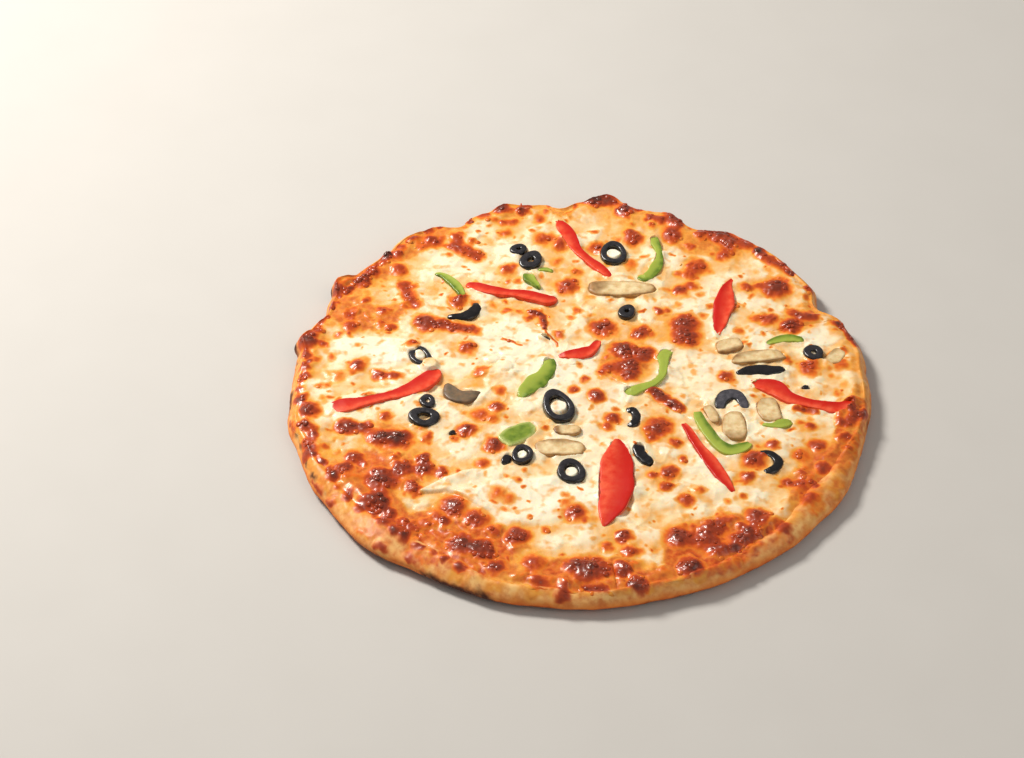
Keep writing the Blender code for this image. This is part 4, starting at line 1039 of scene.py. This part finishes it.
def addCrustSlice(number, start, end, spacing):
    directions, outline = raysOfSlice(start, end, spacing)
    columns = len(directions)
    angle = bearing(*fromMeeting(directions, outline))
    width = rimWidth(angle)
    crest = crestHeight(angle)
    zero = np.zeros(columns)
    insets = (width + dough["slope"], width, width * dough["crestShare"],
              zero + dough["shoulderInset"], zero, zero + dough["footInset"])
    heights = (zero + dough["floor"], crest - 1.0, crest,
               dough["shoulder"] + 0.4 * (crest - dough["crest"]), zero + dough["widest"], zero)
    rows = rimProfile["rows"]
    knots = np.stack((np.stack(insets), np.stack(heights)), axis=2)
    spans = len(knots) - 1
    grid = []
    for row in range(rows + 1):
        place = row / rows * spans
        span = min(int(place), spans - 1)
        p1 = knots[span]
        p2 = knots[span + 1]
        p0 = knots[span - 1] if span else p1
        p3 = knots[span + 2] if span + 2 <= spans else p2
        point = splinePoint(p0, p1, p2, p3, place - span)
        grid.append(np.stack((*fromMeeting(directions, outline - point[:, 0]), point[:, 1]), axis=1))
    points = np.concatenate(grid)
    gx = points[:, 0] + gridCentre[0]
    gy = points[:, 1] + gridCentre[1]
    up = points[:, 2]
    turn = bearing(points[:, 0], points[:, 1])
    scorch = scorching(turn, up, gx, gy)
    brown = np.maximum(browning(gx, gy) - 0.08, 0.0)
    brown *= ease((up - 5.0 - 0.8 * latticeNoise(gx, gy, 4.0, 85)) / 2.4)
    sauce = sauceColour(gx, gy)
    free = ease(up / 3.0)  # nothing moves at the foot
    swell = rimProfile["wave"] * latticeNoise(gx + up, gy - up, 9.0, 81)
    swell += rimProfile["pits"] * latticeNoise(gx + 2 * up, gy + up, 2.4, 82)
    swell += blisterRise(gx, gy) * rimProfile["blisters"] * ease((up - 5.0) / 2.4)
    swell += 0.4 * np.clip(brown - 0.2, 0.0, 0.8) * bubbleDomes(gx, gy, domeSizes["small"], 83)
    away = np.hypot(points[:, 0], points[:, 1])
    lean = ease((dough["crest"] - up) / 5.0) * 0.8
    points[:, 0] += points[:, 0] / away * swell * lean * free
    points[:, 1] += points[:, 1] / away * swell * lean * free
    points[:, 2] += swell * (1.0 - lean) * free * ease(up / 6.0)
    points[:, 2] = np.maximum(points[:, 2], 0.0)
    topped = ease((up - 6.6 - 1.2 * latticeNoise(gx, gy, 5.0, 84)) / 1.8)
    bare = ease((turn % 360.0 - bareRim["start"]) / bareRim["fade"])
    bare *= ease((bareRim["end"] - turn % 360.0) / bareRim["fade"])
    dry = bareRim["share"] - bareRim["inZones"] * zoneShare(gx, gy)
    bare *= np.clip(dry + bareRim["patches"] * latticeNoise(gx, gy, 6.0, 88), 0.0, 1.0)
    topped *= 1.0 - bare
    topped = np.maximum(topped * np.clip(sauce * 1.6 + brown * 2.0, 0.0, 1.0), ease(brown * 2.0 - 0.4))
    faces = gridFaces(rows + 1, columns)
    tipTop = len(points)
    tips = np.array([[*knifeCuts["meeting"], dough["floor"]], [*knifeCuts["meeting"], 0.0]])
    points = np.concatenate((points, tips))
    foot = rows * columns
    faces += [(tipTop, k + 1, k) for k in range(columns - 1)]
    faces += [(tipTop + 1, foot + k, foot + k + 1) for k in range(columns - 1)]
    faces.append((tipTop, *[row * columns for row in range(rows + 1)], tipTop + 1))
    faces.append((tipTop + 1, *[row * columns + columns - 1 for row in range(rows, -1, -1)], tipTop))
    fields = {}
    for label, values in (("browning", brown), ("sauce", sauce), ("topped", topped), ("scorch", scorch)):
        fields[label] = np.concatenate((values, np.zeros(2)))
    newPiece(f"baked_crust_{number}", points, faces, "baked_dough", f"crust_slice_{number}", fields)


print("crust and cheese")
fineness = cheese["spacing"]
cutAngles = knifeCuts["angles"]
for number, (start, end) in enumerate(zip(cutAngles, cutAngles[1:] + cutAngles[:1]), 1):
    addCrustSlice(number, start, end, fineness)
    addCheeseSlice(number, start, end, fineness)


def addStrip(name, points, thick, arch, slotName, node, lean=0.10, seed=0, corner=0.4, trough=0.1, paler=0.0,
             cutFace=0.0):
    sections = 80
    around = 32
    draw = np.random.RandomState(500 + seed)
    phase = draw.rand(3) * 2 * math.pi
    facing = 1.0 if draw.rand() < 0.5 else -1.0
    rings = []
    flesh = []
    side = []
    for k in range(sections):
        share = k / (sections - 1)
        here = smoothPath(points, share)
        ahead = smoothPath(points, min(share + 0.01, 1.0))
        behind = smoothPath(points, max(share - 0.01, 0.0))
        forward = (ahead - behind).to_2d().normalized()
        aside = Vector((-forward.y, forward.x))
        body = min(1.0, 0.72 + 2.0 * min(share, 1.0 - share))
        tipEase = math.sqrt(min(1.0, 0.03 + min(share, 1.0 - share) / 0.04))
        width = here.z * (1.0 + 0.07 * math.sin(9 * share + phase[0])
                          + 0.04 * math.sin(23 * share + phase[1]))
        twist = lean * math.sin(4.0 * share + phase[2])
        base = cheese["seat"] + arch * math.sin(math.pi * share)
        for m in range(around):
            a = 2 * math.pi * m / around
            across = bluntWave(math.cos(a), corner) * 0.5
            lift = 0.47 + bluntWave(math.sin(a), corner) * 0.47
            spot = here.to_2d() + aside * (across * width * tipEase)
            dip = trough * thick * lift * (4.0 * across * across - 0.5)
            rings.append((spot.x - gridCentre[0], spot.y - gridCentre[1],
                          base + lift * (thick * body * tipEase + twist * across * width) + dip * tipEase))
            cut = ease((across - 0.42) / 0.06) * ease((0.8 - lift) / 0.2)
            cut *= ease(min(share, 1.0 - share) / 0.1)
            flesh.append(max(float(cut), cutFace * float(ease((lift - 0.84) / 0.08))))
            # side: 1 over one half across the strip, which carries painted shading; paler raises it all over
            # for the real pale inner side
            side.append(max(float(ease((0.10 - facing * across) / 0.16)), paler))
    points3 = np.array(rings)
    bend = 0.16 * latticeNoise(points3[:, 0], points3[:, 1] + points3[:, 2] * 2.0, 5.0, 100 + seed)
    points3[:, 2] += bend * ease((points3[:, 2] - cheese["seat"]) / 2.0)
    newPiece(name, points3, loopFaces(sections, around), slotName, node, {"flesh": flesh, "side": side})


def turnedTo(x, y, along, across, turn):  # a point in the frame, from distances in a turned piece
    a = math.radians(turn)
    return (x - gridCentre[0] + along * math.cos(a) - across * math.sin(a),
            y - gridCentre[1] + along * math.sin(a) + across * math.cos(a))


def addPlate(name, plate, slotName, node, gills=0.0, seed=0, stained=(1.0, 0.0, 0.0), cleft=0.0):
    x, y, length, width, turn, bow, taper, thick = plate
    around = 72
    corner = 0.72
    # Share of the size and of the thickness, from the middle below over the edge to the middle above
    levels = ((0.02, 0.0), (0.78, 0.0), (0.95, 0.10), (1.0, 0.40), (0.99, 0.74), (0.95, 0.92), (0.88, 1.0),
              (0.66, 1.02), (0.34, 0.99), (0.02, 0.96))
    points = []
    rind = []
    stain = []
    for share, up in levels:
        for k in range(around):
            a = 2 * math.pi * k / around
            blunt = 1.0 + 0.05 * math.sin(2 * a + 2.3 * x) + 0.04 * math.sin(3 * a + 1.7 * y)
            blunt += 0.025 * math.sin(5 * a + 0.9 * x) + 0.015 * math.sin(9 * a + y)
            blunt -= cleft * math.exp(-((a - math.pi / 2) / 0.5) ** 2)
            full = length / 2 * bluntWave(math.cos(a), corner) * blunt
            along = full * share
            across = width / 2 * bluntWave(math.sin(a), corner) * blunt * share
            across *= 1.0 - taper * math.cos(a)
            across += bow * ((2 * full / length) ** 2 - 0.4) * share
            points.append((*turnedTo(x, y, along, across, turn), cheese["seat"] + up * thick))
            rind.append(float(ease((share - 0.80) / 0.15)))
            toward = stained[0] * math.cos(a) + stained[1] * math.sin(a)
            stain.append(stained[2] * float(ease((toward * share - 0.25) / 0.5)))
    points = np.array(points)
    lift = ease((points[:, 2] - cheese["seat"]) / thick)
    points[:, 2] += lift * (0.30 * latticeNoise(points[:, 0], points[:, 1], 7.0, 200 + seed, 1)
                            + 0.06 * latticeNoise(points[:, 0], points[:, 1], 2.0, 220 + seed))
    fields = {"rind": rind, "flesh": rind, "side": stain, "stain": stain}
    fields["gills"] = np.full(len(points), gills)
    newPiece(name, points, loopFaces(len(levels), around), slotName, node, fields)


def addRing(name, ring, node, seed):
    x, y, width, length, turn, hole, thick, tilt = ring
    lean = math.tan(math.radians(tilt))
    around = 72
    section = 24
    points = []
    flesh = []
    for k in range(around):
        a = 2 * math.pi * k / around
        uneven = 1.0 + 0.05 * math.sin(2 * a + x) + 0.04 * math.sin(3 * a + y)
        for m in range(section):
            b = 2 * math.pi * m / section
            out = 0.5 + 0.5 * bluntWave(math.cos(b), 0.5)
            up = 0.5 + 0.5 * bluntWave(math.sin(b), 0.5)
            reach = hole + (1.0 - hole) * out
            across = width / 2 * reach * math.cos(a) * uneven
            ahead = length / 2 * reach * math.sin(a) * uneven
            rise = (length / 2 * 1.1 + ahead) * lean
            points.append((*turnedTo(x, y, across, ahead, turn), cheese["seat"] + rise + up * thick))
            flesh.append(0.25 * float(ease((up - 0.86) / 0.1)) * float(ease(1.0 - (out - 0.82) / 0.1)))
    points = np.array(points)
    points[:, 2] += 0.12 * latticeNoise(points[:, 0], points[:, 1], 3.0, 300 + seed)
    newPiece(name, points, loopFaces(around, section, closed=True), "black_olive", node, {"flesh": flesh})


print("toppings")
oliveThick = 3.2
pepperThick = 2.7
scrapThick = 2.4
paleGreens = (5, 8)  # strips that lie with their pale inner side up
gillsUp = 2  # the mushroom slice that shows its dark gills
for k, ring in enumerate(oliveRings, 1):
    addRing(f"olive_slice_{k}", ring, f"olive_ring_{k}", k)
openName = len(oliveRings) + 1
addStrip(f"olive_slice_{openName}", openRing, oliveThick, 0.0, "black_olive", f"olive_ring_{openName}",
         corner=0.5, cutFace=1.0)
for k, points in enumerate(oliveArcs, 1):
    addStrip(f"olive_piece_{k}", points, oliveThick, 0.0, "black_olive", f"olive_arc_{k}", seed=k,
             corner=0.6, trough=0.0)
for k, points in enumerate(redPeppers, 1):
    addStrip(f"red_pepper_strip_{k}", points, pepperThick, 0.5, "red_pepper", f"red_pepper_{k}", seed=20 + k)
for k, points in enumerate(greenPeppers, 1):
    addStrip(f"green_pepper_strip_{k}", points, pepperThick, 0.4, "green_pepper", f"green_pepper_{k}",
             seed=40 + k, paler=0.8 if k in paleGreens else 0.0)
addPlate("green_pepper_strip_9", pepperPlate, "green_pepper", "green_pepper_9")
for k, (slotName, points) in enumerate(scraps, 1):
    addStrip(f"scrap_{k}", points, scrapThick, 0.0, slotName, None, seed=60 + k, corner=0.6, trough=0.0)
# Where a mushroom slice is stained: direction along and across it, strength
mushroomStains = (
    (-1.0, 0.2, 0.8), (0.0, 1.0, 0.3), (0.1, -1.0, 0.9), (-0.6, 0.8, 0.6), (-1.0, 0.0, 0.5), (0.0, 1.0, 0.4),
    (1.0, 0.0, 0.3), (-1.0, 0.0, 1.0), (0.0, 1.0, 0.8), (0.3, 1.0, 0.4),
)
for k, (plate, stained) in enumerate(zip(mushrooms, mushroomStains), 1):
    addPlate(f"mushroom_slice_{k}", plate, "mushroom", f"mushroom_{k}", gills=0.9 if k == gillsUp else 0.0,
             seed=k, stained=stained, cleft=0.45 if k == gillsUp else 0.0)


# Camera at the photograph's angle: 43 degrees down, 1.4 m away
view = {
    "elevation": 43.0, "distance": 1.4, "pixels": 2900.0, "origin": (578.0, 391.0), "frame": (1024.0, 758.0),
}


def addCamera():
    data = bpy.data.cameras.new("photo_camera")
    camera = bpy.data.objects.new("photo_camera", data)
    scene.collection.objects.link(camera)
    tilt = math.radians(view["elevation"])
    origin = Vector((-gridCentre[0], -gridCentre[1], 0.0)) * mm
    camera.location = origin + Vector((0.0, -math.cos(tilt), math.sin(tilt))) * view["distance"]
    ahead = (origin - camera.location).normalized()
    right = ahead.cross(Vector((0, 0, 1))).normalized()
    up = right.cross(ahead)
    shiftX = (view["origin"][0] - view["frame"][0] / 2) / view["pixels"]
    shiftY = (view["origin"][1] - view["frame"][1] / 2) / view["pixels"]
    aim = ahead - right * shiftX + up * shiftY
    camera.rotation_mode = "QUATERNION"
    camera.rotation_quaternion = aim.to_track_quat("-Z", "Y")
    data.sensor_width = 36.0
    data.lens = view["pixels"] * data.sensor_width / view["frame"][0]
    scene.camera = camera


# Lamps: place and size in metres, power, colour; then the light from all round
studio = {
    "key": ((-0.80, 0.55, 0.95), 0.32, 21.5, (1.0, 0.96, 0.90)),
    "fill": ((0.9, -0.7, 0.9), 1.0, 4.0, (1.0, 0.95, 0.88)),
    "world": 0.27,
}


def addStudio():
    for name in ("key", "fill"):
        place, size, power, colour = studio[name]
        data = bpy.data.lights.new(name + "_light", "AREA")
        data.size = size
        data.energy = power
        data.color = colour
        lamp = bpy.data.objects.new(name + "_light", data)
        lamp.location = place
        lamp.rotation_mode = "QUATERNION"
        lamp.rotation_quaternion = (-Vector(place)).to_track_quat("-Z", "Y")
        scene.collection.objects.link(lamp)
    world = bpy.data.worlds.new("studio")
    world.use_nodes = True
    back = world.node_tree.nodes["Background"]
    back.inputs["Color"].default_value = (1.0, 0.99, 0.97, 1.0)
    back.inputs["Strength"].default_value = studio["world"]
    scene.world = world


def addFloor():
    mesh = bpy.data.meshes.new("floor")
    half = 6.0
    corners = [(-half, -half, 0), (half, -half, 0), (half, half, 0), (-half, half, 0)]
    mesh.from_pydata(corners, [], [(0, 1, 2, 3)])
    material, tree, shader = newMaterial("pale_floor", Roughness=0.75)
    place = objectPlace(tree)
    tone = mixColours(tree, grain(tree, place, 40.0), (0.58, 0.555, 0.52, 1.0), (0.61, 0.585, 0.55, 1.0))
    tree.links.new(tone, shader.inputs["Base Color"])
    mesh.materials.append(material)
    floor = bpy.data.objects.new("floor", mesh)
    scene.collection.objects.link(floor)


print("camera, studio and floor")
addCamera()
addStudio()
addFloor()
